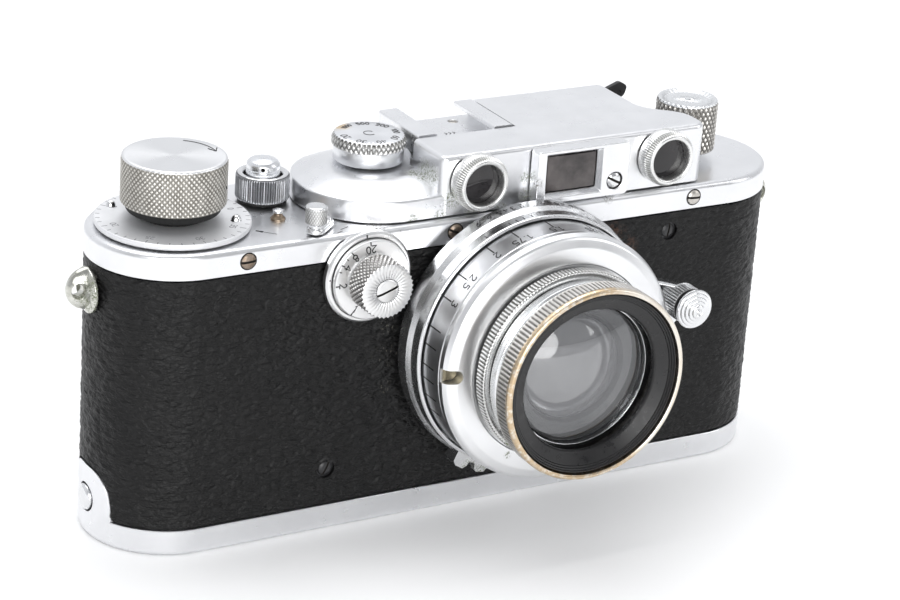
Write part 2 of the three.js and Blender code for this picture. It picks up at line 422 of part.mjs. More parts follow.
add(ring('y', L, 12.6, TUBE_R, -36.5, -9.0, N_BIG)
  .add(lathe('y', L, [[12.9, -34.7], [15.9, -34.7], [16.2, -35.0], [16.2, -36.6], [15.8, -36.8], [15.8, -38.4], [12.6, -38.4], [12.6, -36.0]], N_BIG)),
  'lens_tube', chrome);
add(lathe('y', L, [[16.5, -38.7], [17.2, -38.7], [17.44, -38.95], [17.44, -42.6], [17.1, -43.1], [16.5, -43.1]], N_BIG)
  .add(ring('y', L, 14.8, 16.8, -39.6, -38.7, N_BIG)), 'aperture_ring', satin);
add(lathe('y', L, [[12.95, -39.9], [16.2, -39.9], [16.2, -42.5], [15.9, -42.5], [12.95, -40.6]], N_BIG), 'name_ring', black);
const bulge = [];
for (let i = 0; i <= 5; i++) { const a = i / 5; bulge.push([12.3 * a, -41.3 + 2.3 * a * a]); }
add(lathe('y', L, [...bulge, [12.3, -37.6], [0, -37.6]], N_MED), 'front_glass', glass);
add(lathe('y', L, [[0, -13.0], [12.2, -13.0], [12.2, -8.7], [10.4, -5.0], [9.0, -5.0], [9.0, -6.0], [0, -6.8]], N_MED), 'rear_cell', black);

export default root;
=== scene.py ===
"""Looks of the rangefinder camera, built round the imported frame. Lengths in the making are millimetres; the meshes are in metres."""
import json
import math

import bmesh
import bpy
from mathutils import Matrix, Vector, noise

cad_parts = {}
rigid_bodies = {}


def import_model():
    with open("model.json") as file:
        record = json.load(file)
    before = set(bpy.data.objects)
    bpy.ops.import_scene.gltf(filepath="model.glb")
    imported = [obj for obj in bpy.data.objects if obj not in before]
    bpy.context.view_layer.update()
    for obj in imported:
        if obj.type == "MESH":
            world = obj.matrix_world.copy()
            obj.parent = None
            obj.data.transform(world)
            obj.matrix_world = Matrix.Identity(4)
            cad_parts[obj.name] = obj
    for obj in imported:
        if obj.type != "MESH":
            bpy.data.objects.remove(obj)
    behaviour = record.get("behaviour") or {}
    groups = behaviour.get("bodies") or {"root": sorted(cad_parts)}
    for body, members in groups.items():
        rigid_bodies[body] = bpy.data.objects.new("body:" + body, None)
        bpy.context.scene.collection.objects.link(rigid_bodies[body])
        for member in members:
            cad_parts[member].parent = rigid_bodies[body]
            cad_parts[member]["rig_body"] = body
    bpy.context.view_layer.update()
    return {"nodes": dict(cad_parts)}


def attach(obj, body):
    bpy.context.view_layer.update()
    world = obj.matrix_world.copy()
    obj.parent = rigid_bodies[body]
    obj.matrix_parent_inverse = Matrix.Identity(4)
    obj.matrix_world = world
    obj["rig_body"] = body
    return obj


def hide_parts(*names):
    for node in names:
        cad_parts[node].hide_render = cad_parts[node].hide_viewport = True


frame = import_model()
NODES = frame["nodes"]
MM = 0.001
PI, TAU = math.pi, 2 * math.pi

# ---------------------------------------------------------------- dimensions
HALF, R_BODY = 51.9, 14.6
KNOB, DRUM, RELEASE, REWIND = (-51.6, 0.0), (-13.67, 2.2), (-32.5, 5.0), (51.1, 0.0)
LEVER, PIN = (-28.3, -9.6), (-31.1, -12.5)
SLOW, DIOPT, VFEYE, FKNOB = (-22.4, 47.3), (37.5, 61.0), (17.2, 61.0), (33.9, 39.4)
L = (7.66, 33.5)
rad = math.radians


# -------------------------------------------------------------------- camera
def make_camera():
    az, el, roll = rad(-31.06), rad(22.28), rad(3.95)
    target, dist = Vector((3.56, 0.0, 33.03)) * MM, 543.52 * MM
    back = Vector((math.sin(az) * math.cos(el), -math.cos(az) * math.cos(el), math.sin(el)))
    fwd = -back
    right = fwd.cross(Vector((0, 0, 1))).normalized()
    up = right.cross(fwd)
    rr = right * math.cos(roll) + up * math.sin(roll)
    uu = -right * math.sin(roll) + up * math.cos(roll)
    cam = bpy.data.cameras.new("camera")
    cam.sensor_width, cam.sensor_fit = 36.0, "HORIZONTAL"
    cam.lens = 3036.41 / 900 * 36.0
    cam.clip_start, cam.clip_end = 0.01, 50
    o = bpy.data.objects.new("camera", cam)
    bpy.context.scene.collection.objects.link(o)
    m = Matrix((rr, uu, back)).transposed().to_4x4()
    m.translation = target + back * dist
    o.matrix_world = m
    bpy.context.scene.camera = o


make_camera()


# ------------------------------------------------------------- mesh building
def place(axis, c, t, r, h):
    a, b = c[0] + r * math.cos(t), c[1] + r * math.sin(t)
    return (a, b, h) if axis == "z" else (a, h, b) if axis == "y" else (h, a, b)


def fil(prof, radius=0.15, n=3, closed=True):
    """Rounds the corners of a 2-D line. A point may give its own radius as a third number."""
    out, cnt = [], len(prof)
    for i, p in enumerate(prof):
        f = p[2] if len(p) > 2 else radius
        if (not closed and i in (0, cnt - 1)) or f <= 0:
            out.append((p[0], p[1]))
            continue
        a, b, q = prof[i - 1], prof[(i + 1) % cnt], Vector(p[:2])
        va, vb = Vector(a[:2]) - q, Vector(b[:2]) - q
        if min(va.length, vb.length) < 1e-6:
            out.append((p[0], p[1]))
            continue
        ang = va.angle(vb)
        if ang > rad(172) or ang < rad(3):
            out.append((p[0], p[1]))
            continue
        d = min(f / math.tan(ang / 2), 0.45 * va.length, 0.45 * vb.length)
        p0, p1 = q + va.normalized() * d, q + vb.normalized() * d
        for k in range(n + 1):
            t = k / n
            s = (1 - t) ** 2 * p0 + 2 * t * (1 - t) * q + t * t * p1
            out.append((s[0], s[1]))
    return out


def lathe(axis, c, prof, seg, disp=None, mat=0):
    """A profile of (radius, height) turned about an axis. It closes on itself unless it starts and ends on the axis."""
    open_ = prof[0][0] < 1e-6 and prof[-1][0] < 1e-6
    v, f, fm, idx = [], [], [], []
    for r, h in prof:
        if r < 1e-6:
            idx.append([len(v)])
            v.append(place(axis, c, 0, 0, h))
            continue
        row = []
        for i in range(seg):
            t = TAU * i / seg
            rr, hh = (r, h) if disp is None else disp(t, r, h)
            row.append(len(v))
            v.append(place(axis, c, t, rr, hh))
        idx.append(row)
    pairs = [(k, k + 1) for k in range(len(prof) - 1)] + ([] if open_ else [(len(prof) - 1, 0)])
    for a, b in pairs:
        A, B = idx[a], idx[b]
        m = mat(a) if callable(mat) else mat
        if len(A) == 1 and len(B) == 1:
            continue
        for i in range(seg):
            j = (i + 1) % seg
            if len(A) == 1:
                f.append((A[0], B[i], B[j]))
            elif len(B) == 1:
                f.append((A[i], A[j], B[0]))
            else:
                f.append((A[i], A[j], B[j], B[i]))
            fm.append(m)
    return v, f, fm


def dense(p0, p1, step):
    """Points from p0 to p1, step apart, ends included."""
    n = max(1, int(round(math.dist(p0, p1) / step)))
    return [(p0[0] + (p1[0] - p0[0]) * i / n, p0[1] + (p1[1] - p0[1]) * i / n) for i in range(n + 1)]


def loft(rings, mat=0, ring_closed=False):
    """Rings of points, one after another, with flat ends, or the last joined to the first."""
    v, f = [], []
    n = len(rings[0])
    for r in rings:
        v.extend(tuple(p) for p in r)
    k = len(rings)
    for a in range(k if ring_closed else k - 1):
        b = (a + 1) % k
        for i in range(n):
            j = (i + 1) % n
            f.append((a * n + i, a * n + j, b * n + j, b * n + i))
    if not ring_closed:
        f.append(tuple(range(n))[::-1])
        f.append(tuple((k - 1) * n + i for i in range(n)))
    return v, f, [mat] * len(f)


def prism(outline, axis, h0, h1, mat=0):
    put = {"z": lambda p, h: (p[0], p[1], h), "y": lambda p, h: (p[0], h, p[1]), "x": lambda p, h: (h, p[0], p[1])}[axis]
    return loft([[put(p, h0) for p in outline], [put(p, h1) for p in outline]], mat)


def box(x0, x1, y0, y1, z0, z1, mat=0):
    return prism([(x0, y0), (x1, y0), (x1, y1), (x0, y1)], "z", z0, z1, mat)


def cyl(axis, c, r, h0, h1, seg=48, mat=0):
    return lathe(axis, c, [(0, h0), (r, h0), (r, h1), (0, h1)], seg, mat=mat)


def ear(g=0.0, n=120):
    """Outline (y, z) of the rounded ear at the left end, g wider."""
    out = []
    for i in range(n):
        c, d = math.cos(TAU * i / n), math.sin(TAU * i / n)
        out.append(((6.6 + g) * math.copysign(abs(c) ** (2 / 2.9), c), 4.0 + (9.1 + g) * math.copysign(abs(d) ** (2 / 2.9), d)))
    return out


def rod(p0, p1, r, seg=24, mat=0):
    """A straight round rod between two points."""
    a, b = Vector(p0), Vector(p1)
    d = (b - a).normalized()
    u = d.orthogonal().normalized()
    w = d.cross(u)
    rings = [[tuple(q + (u * math.cos(TAU * i / seg) + w * math.sin(TAU * i / seg)) * r) for i in range(seg)] for q in (a, b)]
    return loft(rings, mat)


def stad(r, n=40, half=HALF, straight=1):
    """Outline of the body's plan: a bar with round ends, counter-clockwise from the front's left end."""
    pts = [(-half + 2 * half * i / straight, -r) for i in range(straight)]
    pts += [(half + r * math.cos(a), r * math.sin(a)) for a in (-PI / 2 + PI * i / n for i in range(n))]
    pts += [(half - 2 * half * i / straight, r) for i in range(straight)]
    pts += [(-half + r * math.cos(a), r * math.sin(a)) for a in (PI / 2 + PI * i / n for i in range(n))]
    return pts


def inset(pts, d):
    """A closed counter-clockwise outline moved inwards by d along its corners' bisectors."""
    if abs(d) < 1e-9:
        return list(pts)
    out, n = [], len(pts)
    for i in range(n):
        p, a, b = Vector(pts[i]), Vector(pts[i - 1]), Vector(pts[(i + 1) % n])
        e1, e2 = (p - a).normalized(), (b - p).normalized()
        n1, n2 = Vector((-e1.y, e1.x)), Vector((-e2.y, e2.x))
        s = (n1 + n2)
        s = s / max(0.3, s.dot(n1)) if s.length > 1e-6 else n1
        out.append(tuple(p + s * d))
    return out


def raised(parts):
    """A temporary object, in millimetres, from mesh parts, with all faces pointing out."""
    me = bpy.data.meshes.new("tmp")
    v, f, fm = [], [], []
    for pv, pf, pm in parts:
        o = len(v)
        v.extend(pv)
        f.extend(tuple(i + o for i in face) for face in pf)
        fm.extend(pm)
    me.from_pydata(v, [], f)
    for _ in range(4):
        me.materials.append(None)
    me.polygons.foreach_set("material_index", fm)
    bm = bmesh.new()
    bm.from_mesh(me)
    bmesh.ops.recalc_face_normals(bm, faces=bm.faces)
    bm.to_mesh(me)
    bm.free()
    o = bpy.data.objects.new("tmp", me)
    bpy.context.scene.collection.objects.link(o)
    return o


def op(target, parts, kind="DIFFERENCE"):
    """Cuts parts from target, or joins them to it."""
    other = raised(parts)
    m = target.modifiers.new("b", "BOOLEAN")
    m.operation, m.object, m.solver = kind, other, "EXACT"
    dg = bpy.context.evaluated_depsgraph_get()
    me = bpy.data.meshes.new_from_object(target.evaluated_get(dg))
    target.modifiers.clear()
    target.data = me
    bpy.data.objects.remove(other)
    return target


def piece(src, name, mats, stands_for=(), body=None, sharp=35, bevel=0.0, bseg=2, weighted=True, merge=1e-4):
    """Turns a temporary object, or mesh parts, into a finished piece that rides on its body."""
    o = src if isinstance(src, bpy.types.Object) else raised(src)
    me = o.data
    bm = bmesh.new()
    bm.from_mesh(me)
    bmesh.ops.remove_doubles(bm, verts=bm.verts, dist=merge)
    bmesh.ops.dissolve_degenerate(bm, edges=bm.edges, dist=1e-5)
    if bevel:
        edges = [e for e in bm.edges if len(e.link_faces) == 2 and e.calc_face_angle(0) > rad(28)]
        bmesh.ops.bevel(bm, geom=edges, offset=bevel, segments=bseg, profile=0.5, affect="EDGES", clamp_overlap=True)
    bmesh.ops.recalc_face_normals(bm, faces=bm.faces)
    for x in bm.verts:
        x.co *= MM
    bm.to_mesh(me)
    bm.free()
    o.name = me.name = name
    mats = list(mats) if isinstance(mats, (list, tuple)) else [mats]
    index = [min(q.material_index, len(mats) - 1) for q in me.polygons]
    me.materials.clear()
    for m in mats:
        me.materials.append(m)
    me.polygons.foreach_set("material_index", index)
    me.shade_smooth()
    me.set_sharp_from_angle(angle=rad(sharp))
    if weighted:
        w = o.modifiers.new("even_normals", "WEIGHTED_NORMAL")
        w.keep_sharp, w.weight = True, 70
    stands_for = (stands_for,) if isinstance(stands_for, str) else stands_for
    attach(o, body or NODES[stands_for[0]]["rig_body"])
    if stands_for:
        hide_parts(*stands_for)
    return o


# ---------------------------------------------------------- turned textures
def fade(h, h0, h1, w):
    lo, hi = min(h0, h1), max(h0, h1)
    return max(0.0, min(1.0, (h - lo) / w, (hi - h) / w))


def diamond(n, pitch, depth, h0, h1, soft=0.25):
    """Crossed knurling: n diamonds round, pitch high, between heights h0 and h1."""
    def d(t, r, h):
        e = fade(h, h0, h1, soft)
        if e <= 0:
            return r, h
        a, b = (n * t / TAU + h / pitch) % 1, (n * t / TAU - h / pitch) % 1
        g = max(abs(a - 0.5), abs(b - 0.5)) * 2
        g = max(0.0, (g - 0.12) / 0.88)
        return r - depth * e * g, h
    return d


def ribs(n, depth, h0, h1, soft=0.25, power=1.0):
    """Straight ribs along the axis."""
    def d(t, r, h):
        e = fade(h, h0, h1, soft)
        if e <= 0:
            return r, h
        g = (0.5 - 0.5 * math.cos(n * t)) ** power
        return r - depth * e * g, h
    return d


# ------------------------------------------------------------------ numerals
def arc(cx, cy, rx, ry, a0, a1, n=12):
    return [(cx + rx * math.cos(rad(a0 + (a1 - a0) * i / n)), cy + ry * math.sin(rad(a0 + (a1 - a0) * i / n))) for i in range(n + 1)]


GLYPH = {
    "0": (0.6, [arc(0.3, 0.5, 0.28, 0.5, 90, 450, 20)]),
    "1": (0.34, [[(0.02, 0.78), (0.24, 1.0), (0.24, 0.0)]]),
    "2": (0.6, [arc(0.3, 0.71, 0.27, 0.29, 168, -32) + [(0.03, 0.0), (0.6, 0.0)]]),
    "3": (0.58, [arc(0.27, 0.76, 0.25, 0.24, 150, -90), arc(0.27, 0.27, 0.3, 0.27, 88, -150)]),
    "4": (0.62, [[(0.46, 0.0), (0.46, 1.0), (0.0, 0.3), (0.62, 0.3)]]),
    "5": (0.58, [[(0.53, 1.0), (0.1, 1.0), (0.06, 0.56)] + arc(0.26, 0.32, 0.3, 0.32, 118, -150)]),
    "6": (0.58, [arc(0.29, 0.3, 0.28, 0.3, 90, 450, 18), [(0.5, 1.0), (0.2, 0.66), (0.03, 0.38)]]),
    "7": (0.56, [[(0.0, 1.0), (0.56, 1.0), (0.2, 0.0)]]),
    "8": (0.58, [arc(0.29, 0.76, 0.22, 0.24, 90, 450, 16), arc(0.29, 0.27, 0.28, 0.27, 90, 450, 18)]),
    "9": (0.58, [arc(0.29, 0.7, 0.28, 0.3, 90, 450, 18), [(0.55, 0.62), (0.4, 0.33), (0.1, 0.0)]]),
    ".": (0.2, [[(0.08, 0.0), (0.08, 0.09)]]),
}


class Ink:
    """Filled strokes that lie on a surface, each a closed thin strip sunk a little into it."""

    def __init__(self):
        self.v, self.f = [], []

    def line(self, pts, width, to, lift=0.02, sink=0.06):
        n = len(pts)
        closed = n > 3 and math.dist(pts[0], pts[-1]) < 1e-6
        if closed:
            pts = pts[:-1]
            n -= 1
        base = len(self.v)
        for i, p in enumerate(pts):
            q = Vector(p)
            a = Vector(pts[i - 1]) if (i or closed) else None
            b = Vector(pts[(i + 1) % n]) if (i < n - 1 or closed) else None
            e1 = (q - a).normalized() if a is not None else (b - q).normalized()
            e2 = (b - q).normalized() if b is not None else e1
            n1, n2 = Vector((-e1.y, e1.x)), Vector((-e2.y, e2.x))
            m = n1 + n2
            m = m / max(0.6, m.dot(n1)) if m.length > 1e-6 else n1
            for s in (0.5, -0.5):
                pos, nor = to(*(q + m * width * s))
                self.v.append(tuple(Vector(pos) + Vector(nor) * lift))
                self.v.append(tuple(Vector(pos) - Vector(nor) * sink))
        for i in range(n if closed else n - 1):
            a, b = base + 4 * i, base + 4 * ((i + 1) % n)
            self.f += [(a, b, b + 2, a + 2), (a + 1, a + 3, b + 3, b + 1), (a, a + 1, b + 1, b), (a + 2, b + 2, b + 3, a + 3)]
        if not closed:
            a, b = base, base + 4 * (n - 1)
            self.f += [(a, a + 2, a + 3, a + 1), (b, b + 1, b + 3, b + 2)]

    def text(self, s, size, width, to, lift=0.02, sink=0.06):
        """s centred on (0, 0) of the local frame, with cap height size."""
        gap = 0.2
        total = sum(GLYPH[c][0] for c in s) + gap * (len(s) - 1)
        x = -total / 2
        for c in s:
            w, strokes = GLYPH[c]
            for st in strokes:
                self.line([((x + px) * size, (py - 0.5) * size) for px, py in st], width, to, lift, sink)
            x += w + gap

    def parts(self):
        return [(self.v, self.f, [0] * len(self.f))]


def on_plane(origin, ex, n, turn=0.0):
    """Local (x, y) on a plane through origin, with x along ex."""
    n = Vector(n).normalized()
    ex = Vector(ex).normalized()
    ey = n.cross(ex)
    c, s = math.cos(turn), math.sin(turn)
    ax, ay = ex * c + ey * s, ey * c - ex * s
    o = Vector(origin)
    return lambda x, y: (o + ax * x + ay * y, n)


def on_ring(axis, c, r, t0, h0, sx=1, sy=1):
    """Local (x, y) wrapped on a turned surface: x goes round by sx, y goes along the axis by sy."""
    def to(x, y):
        t = t0 + sx * x / r
        p = Vector(place(axis, c, t, r, h0 + sy * y))
        q = Vector(place(axis, c, t, 0.0, h0 + sy * y))
        return p, (p - q).normalized()
    return to


def on_disc(axis, c, h, n, r0, t0, sx=1, sy=1):
    """Local (x, y) on a flat disc: x goes round at radius r0 and y goes outwards by sy."""
    n = Vector(n)
    def to(x, y):
        return Vector(place(axis, c, t0 + sx * x / r0, r0 + sy * y, h)), n
    return to


# ----------------------------------------------------------------- materials
class Mat:
    """A procedural material. Places are the object's own coordinates, in metres."""

    def __init__(self, name):
        self.m = bpy.data.materials.new(name)
        self.m.use_nodes = True
        self.nt = self.m.node_tree
        self.nt.nodes.clear()
        out = self.nt.nodes.new("ShaderNodeOutputMaterial")
        self.b = self.nt.nodes.new("ShaderNodeBsdfPrincipled")
        self.nt.links.new(self.b.outputs[0], out.inputs[0])
        self.coord = self.nt.nodes.new("ShaderNodeTexCoord").outputs["Object"]

    def link(self, a, b):
        self.nt.links.new(a, b)

    def stretch(self, s, rot=(0, 0, 0)):
        n = self.nt.nodes.new("ShaderNodeMapping")
        n.inputs["Scale"].default_value = s
        n.inputs["Rotation"].default_value = rot
        self.link(self.coord, n.inputs["Vector"])
        return n.outputs[0]

    def noise(self, scale, detail=4, rough=0.55, coord=None, dist=0.0):
        n = self.nt.nodes.new("ShaderNodeTexNoise")
        n.inputs["Scale"].default_value = scale
        n.inputs["Detail"].default_value = detail
        n.inputs["Roughness"].default_value = rough
        n.inputs["Distortion"].default_value = dist
        self.link(coord or self.coord, n.inputs["Vector"])
        return n.outputs["Fac"]

    def voronoi(self, scale, feature="DISTANCE_TO_EDGE", coord=None):
        n = self.nt.nodes.new("ShaderNodeTexVoronoi")
        n.feature = feature
        n.inputs["Scale"].default_value = scale
        self.link(coord or self.coord, n.inputs["Vector"])
        return n.outputs["Distance"]

    def range(self, x, a, b, c, d, smooth=False):
        n = self.nt.nodes.new("ShaderNodeMapRange")
        n.interpolation_type = "SMOOTHSTEP" if smooth else "LINEAR"
        self.link(x, n.inputs["Value"])
        for k, v in zip(("From Min", "From Max", "To Min", "To Max"), (a, b, c, d)):
            n.inputs[k].default_value = v
        return n.outputs[0]

    def math(self, kind, a, b=None):
        n = self.nt.nodes.new("ShaderNodeMath")
        n.operation = kind
        for i, x in enumerate((a, b)):
            if x is None:
                continue
            if isinstance(x, (int, float)):
                n.inputs[i].default_value = x
            else:
                self.link(x, n.inputs[i])
        return n.outputs[0]

    def mix(self, fac, a, b):
        n = self.nt.nodes.new("ShaderNodeMix")
        n.data_type = "RGBA"
        self.link(fac, n.inputs[0])
        for i, x in ((6, a), (7, b)):
            if isinstance(x, (tuple, list)):
                n.inputs[i].default_value = (*x, 1.0)
            else:
                self.link(x, n.inputs[i])
        return n.outputs[2]

    def near(self, spots):
        """1 at any of the places (x, y, z, radius), in millimetres, falling to 0 at the radius."""
        got = None
        for x, y, z, r in spots:
            d = self.nt.nodes.new("ShaderNodeVectorMath")
            d.operation = "DISTANCE"
            self.link(self.coord, d.inputs[0])
            d.inputs[1].default_value = (x * MM, y * MM, z * MM)
            v = self.range(d.outputs["Value"], r * MM * 0.35, r * MM, 1, 0, True)
            got = v if got is None else self.math("MAXIMUM", got, v)
        return got

    def axis(self, i):
        n = self.nt.nodes.new("ShaderNodeSeparateXYZ")
        self.link(self.coord, n.inputs[0])
        return n.outputs[i]

    def bump(self, parts):
        """parts is a list of (height, strength, distance in millimetres)."""
        last = None
        for h, s, d in parts:
            n = self.nt.nodes.new("ShaderNodeBump")
            n.inputs["Strength"].default_value = s
            n.inputs["Distance"].default_value = d * MM
            self.link(h, n.inputs["Height"])
            if last is not None:
                self.link(last, n.inputs["Normal"])
            last = n.outputs[0]
        self.link(last, self.b.inputs["Normal"])

    def set(self, **k):
        for a, v in k.items():
            s = self.b.inputs[a.replace("_", " ")]
            if hasattr(v, "links") or hasattr(v, "is_linked") and not isinstance(v, (tuple, float)):
                self.link(v, s)
            else:
                s.default_value = (*v, 1.0) if isinstance(v, tuple) and len(v) == 3 else v
        return self


def knurled(name, axis, c, top, depth, c1=(0.66, 0.64, 0.61), c2=(0.54, 0.52, 0.49), r1=0.22, r2=0.34, cone=0.0, h0=0.0, groove_shade_col=(0.055, 0.050, 0.042)):
    """Knurled metal with painted shade in its grooves: the colour darkens below the top radius. A cone's radius falls
    by cone per mm past h0.
    """
    m = Mat(name)
    sub = m.nt.nodes.new("ShaderNodeVectorMath")
    sub.operation = "SUBTRACT"
    m.link(m.coord, sub.inputs[0])
    at = {"z": (c[0], c[1], 0), "y": (c[0], 0, c[1])}[axis]
    sub.inputs[1].default_value = tuple(x * MM for x in at)
    flat = m.nt.nodes.new("ShaderNodeVectorMath")
    flat.operation = "MULTIPLY"
    m.link(sub.outputs[0], flat.inputs[0])
    flat.inputs[1].default_value = (1, 1, 0) if axis == "z" else (1, 0, 1)
    ln = m.nt.nodes.new("ShaderNodeVectorMath")
    ln.operation = "LENGTH"
    m.link(flat.outputs[0], ln.inputs[0])
    r = ln.outputs["Value"]
    if cone:
        h = m.axis(2 if axis == "z" else 1)
        past = m.math("MAXIMUM", m.math("SUBTRACT", h, h0 * MM) if axis == "z" else m.math("SUBTRACT", h0 * MM, h), 0.0)
        r = m.math("ADD", r, m.math("MULTIPLY", past, cone))
    # painted shade: the knurl's grooves, below the top radius, are darkened
    deep = m.range(r, (top - depth) * MM, (top - depth * 0.12) * MM, 1, 0, True)
    col = m.mix(m.range(m.noise(300, 5, 0.6), 0.35, 0.65, 0, 1), c1, c2)
    shade_mask = m.math("MULTIPLY", deep, m.range(m.noise(500, 4, 0.6), 0.25, 0.6, 0.62, 0.95))
    col = m.mix(shade_mask, col, groove_shade_col)
    m.link(col, m.b.inputs["Base Color"])
    m.link(m.math("ADD", m.range(m.noise(800, 5, 0.65), 0.3, 0.7, r1, r2), m.math("MULTIPLY", deep, 0.25)), m.b.inputs["Roughness"])
    m.b.inputs["Metallic"].default_value = 1.0
    m.bump([(m.noise(3500, 3, 0.6), 0.05, 0.02)])
    return m.m


GRIME, VERDIGRIS = (0.10, 0.085, 0.055), (0.16, 0.19, 0.10)


def metal(name, c1, c2, r1, r2, blotch=120, fine=3500, fine_bump=0.05, brushed=None, spots=None, spot_col=GRIME, wear=None, aniso=0.0, turned=None, worn_col=None, worn=None, share=1.0):
    """Plated or bare metal: two close colours in soft blotches, uneven gloss, fine grain, and dirt or wear at given places."""
    m = Mat(name)
    a = m.noise(blotch, 5, 0.6)
    col = m.mix(m.range(a, 0.35, 0.65, 0, 1), c1, c2)
    rgh = m.range(m.noise(blotch * 2.7, 6, 0.65), 0.3, 0.7, r1, r2)
    speck = m.range(m.noise(1400, 3, 0.7), 0.74, 0.82, 0, 1)
    col = m.mix(m.math("MULTIPLY", speck, 0.3), col, tuple(x * 0.6 for x in c1))
    met = None
    if worn:
        w = m.math("MULTIPLY", m.near(worn), m.range(m.noise(900, 5, 0.7), 0.38, 0.52, 0, 1))
        col = m.mix(w, col, worn_col or (0.72, 0.52, 0.30))
    if spots:
        k = m.math("MULTIPLY", m.near(spots), m.range(m.noise(2600, 6, 0.8), 0.48, 0.58, 0, 1))
        col = m.mix(k, col, m.mix(m.noise(2500, 3), spot_col, tuple(x * 0.4 for x in spot_col)))
        rgh = m.math("ADD", rgh, m.math("MULTIPLY", k, 0.45))
        met = m.math("SUBTRACT", 1.0, k)
    m.link(col, m.b.inputs["Base Color"])
    m.link(rgh, m.b.inputs["Roughness"])
    if met is not None:
        m.link(met, m.b.inputs["Metallic"])
    else:
        m.b.inputs["Metallic"].default_value = share
    heights = [(m.noise(fine, 3, 0.6), fine_bump, 0.02)]
    if brushed:
        heights.append((m.noise(900, 3, 0.7, m.stretch(brushed)), 0.09, 0.02))
    if turned:
        axis, c = turned
        n = m.nt.nodes.new("ShaderNodeMapping")
        n.vector_type = "POINT"
        n.inputs["Location"].default_value = tuple(-x * MM for x in c)
        m.link(m.coord, n.inputs["Vector"])
        w = m.nt.nodes.new("ShaderNodeTexWave")
        w.wave_type, w.rings_direction = "RINGS", axis
        w.inputs["Scale"].default_value = 900
        w.inputs["Distortion"].default_value = 0.6
        w.inputs["Detail"].default_value = 2
        w.inputs["Detail Scale"].default_value = 2.0
        m.link(n.outputs[0], w.inputs["Vector"])
        heights.append((w.outputs["Fac"], 0.10, 0.02))
        if aniso:
            t = m.nt.nodes.new("ShaderNodeTangent")
            t.direction_type, t.axis = "RADIAL", axis
            m.link(t.outputs[0], m.b.inputs["Tangent"])
            m.b.inputs["Anisotropic"].default_value = aniso
    m.bump(heights)
    return m.m


def leather(name):
    m = Mat(name)
    st = m.stretch((0.75, 0.75, 1.35))
    warp = m.noise(520, 4, 0.6, m.stretch((0.55, 0.55, 1.3)))
    cells = m.voronoi(620, coord=st)
    cell2 = m.voronoi(1400, coord=st)
    crease_shade = m.range(cells, 0.0, 0.2, 0, 1, True)
    tone = m.noise(60, 4, 0.6)
    col = m.mix(m.range(tone, 0.3, 0.7, 0, 1), (0.0038, 0.0038, 0.0040), (0.0075, 0.0072, 0.0072))
    # painted shade: the grain's creases, at the cell edges, are darkened
    col = m.mix(m.range(crease_shade, 0, 1, 0.7, 0), col, (0.0015, 0.0015, 0.0015))
    rub = m.math("MULTIPLY", m.near([(27.5, -14.6, 47.5, 3.6), (31.0, -14.6, 45.0, 2.6)]), m.range(m.noise(1500, 5, 0.7), 0.46, 0.58, 0, 1))
    col = m.mix(rub, col, (0.05, 0.026, 0.017))
    chips = m.math("MULTIPLY", m.near([(-17.6, -14.6, 31.5, 3.2), (-17.3, -14.6, 37.0, 2.6), (-16.6, -14.6, 25.5, 2.4), (-13.5, -14.6, 47.4, 1.6)]),
                   m.range(m.noise(1500, 5, 0.75, m.stretch((2.4, 1, 0.6))), 0.60, 0.65, 0, 1))
    col = m.mix(chips, col, (0.20, 0.19, 0.16))
    m.link(col, m.b.inputs["Base Color"])
    m.link(m.range(m.noise(260, 5, 0.7), 0.3, 0.7, 0.34, 0.52), m.b.inputs["Roughness"])
    m.b.inputs["Specular IOR Level"].default_value = 0.26
    m.bump([(warp, 1.0, 0.75), (m.range(cells, 0.0, 0.35, 0, 1, True), 0.8, 0.16), (m.range(cell2, 0.0, 0.3, 0, 1, True), 0.6, 0.07), (m.noise(5200, 3, 0.6), 0.25, 0.03)])
    return m.m


def enamel(name, c=(0.012, 0.012, 0.013), r=0.34, chip=None):
    m = Mat(name)
    col = m.mix(m.noise(300, 4), c, tuple(x * 1.9 for x in c))
    if chip:
        k = m.math("MULTIPLY", m.near(chip), m.range(m.noise(1900, 5, 0.75), 0.55, 0.6, 0, 1))
        col = m.mix(k, col, (0.45, 0.36, 0.22))
    m.link(col, m.b.inputs["Base Color"])
    m.link(m.range(m.noise(700, 5, 0.7), 0.3, 0.7, r - 0.08, r + 0.14), m.b.inputs["Roughness"])
    m.bump([(m.noise(2600, 3, 0.6), 0.10, 0.02)])
    return m.m


def glassy(name, c1, c2, scale=180, transmission=0.0, rough=0.03, ior=1.52):
    m = Mat(name)
    col = m.mix(m.range(m.noise(scale, 4, 0.6), 0.35, 0.65, 0, 1), c1, c2)
    m.link(col, m.b.inputs["Base Color"])
    m.link(m.range(m.noise(900, 5, 0.7), 0.4, 0.75, rough, rough * 1.6), m.b.inputs["Roughness"])
    m.b.inputs["IOR"].default_value = ior
    m.b.inputs["Transmission Weight"].default_value = transmission
    return m.m


def clear(name, c1, c2, show):
    """Clear coated glass: it lets the light straight through and mirrors a share of what stands before it."""
    m = Mat(name)
    m.link(m.mix(m.range(m.noise(60, 4, 0.6), 0.35, 0.65, 0, 1), c1, c2), m.b.inputs["Base Color"])
    m.b.inputs["Metallic"].default_value = 1.0
    m.b.inputs["Roughness"].default_value = 0.0
    m.b.inputs["Alpha"].default_value = show
    m.bump([(m.noise(45, 2, 0.4), 0.02, 0.02)])
    return m.m


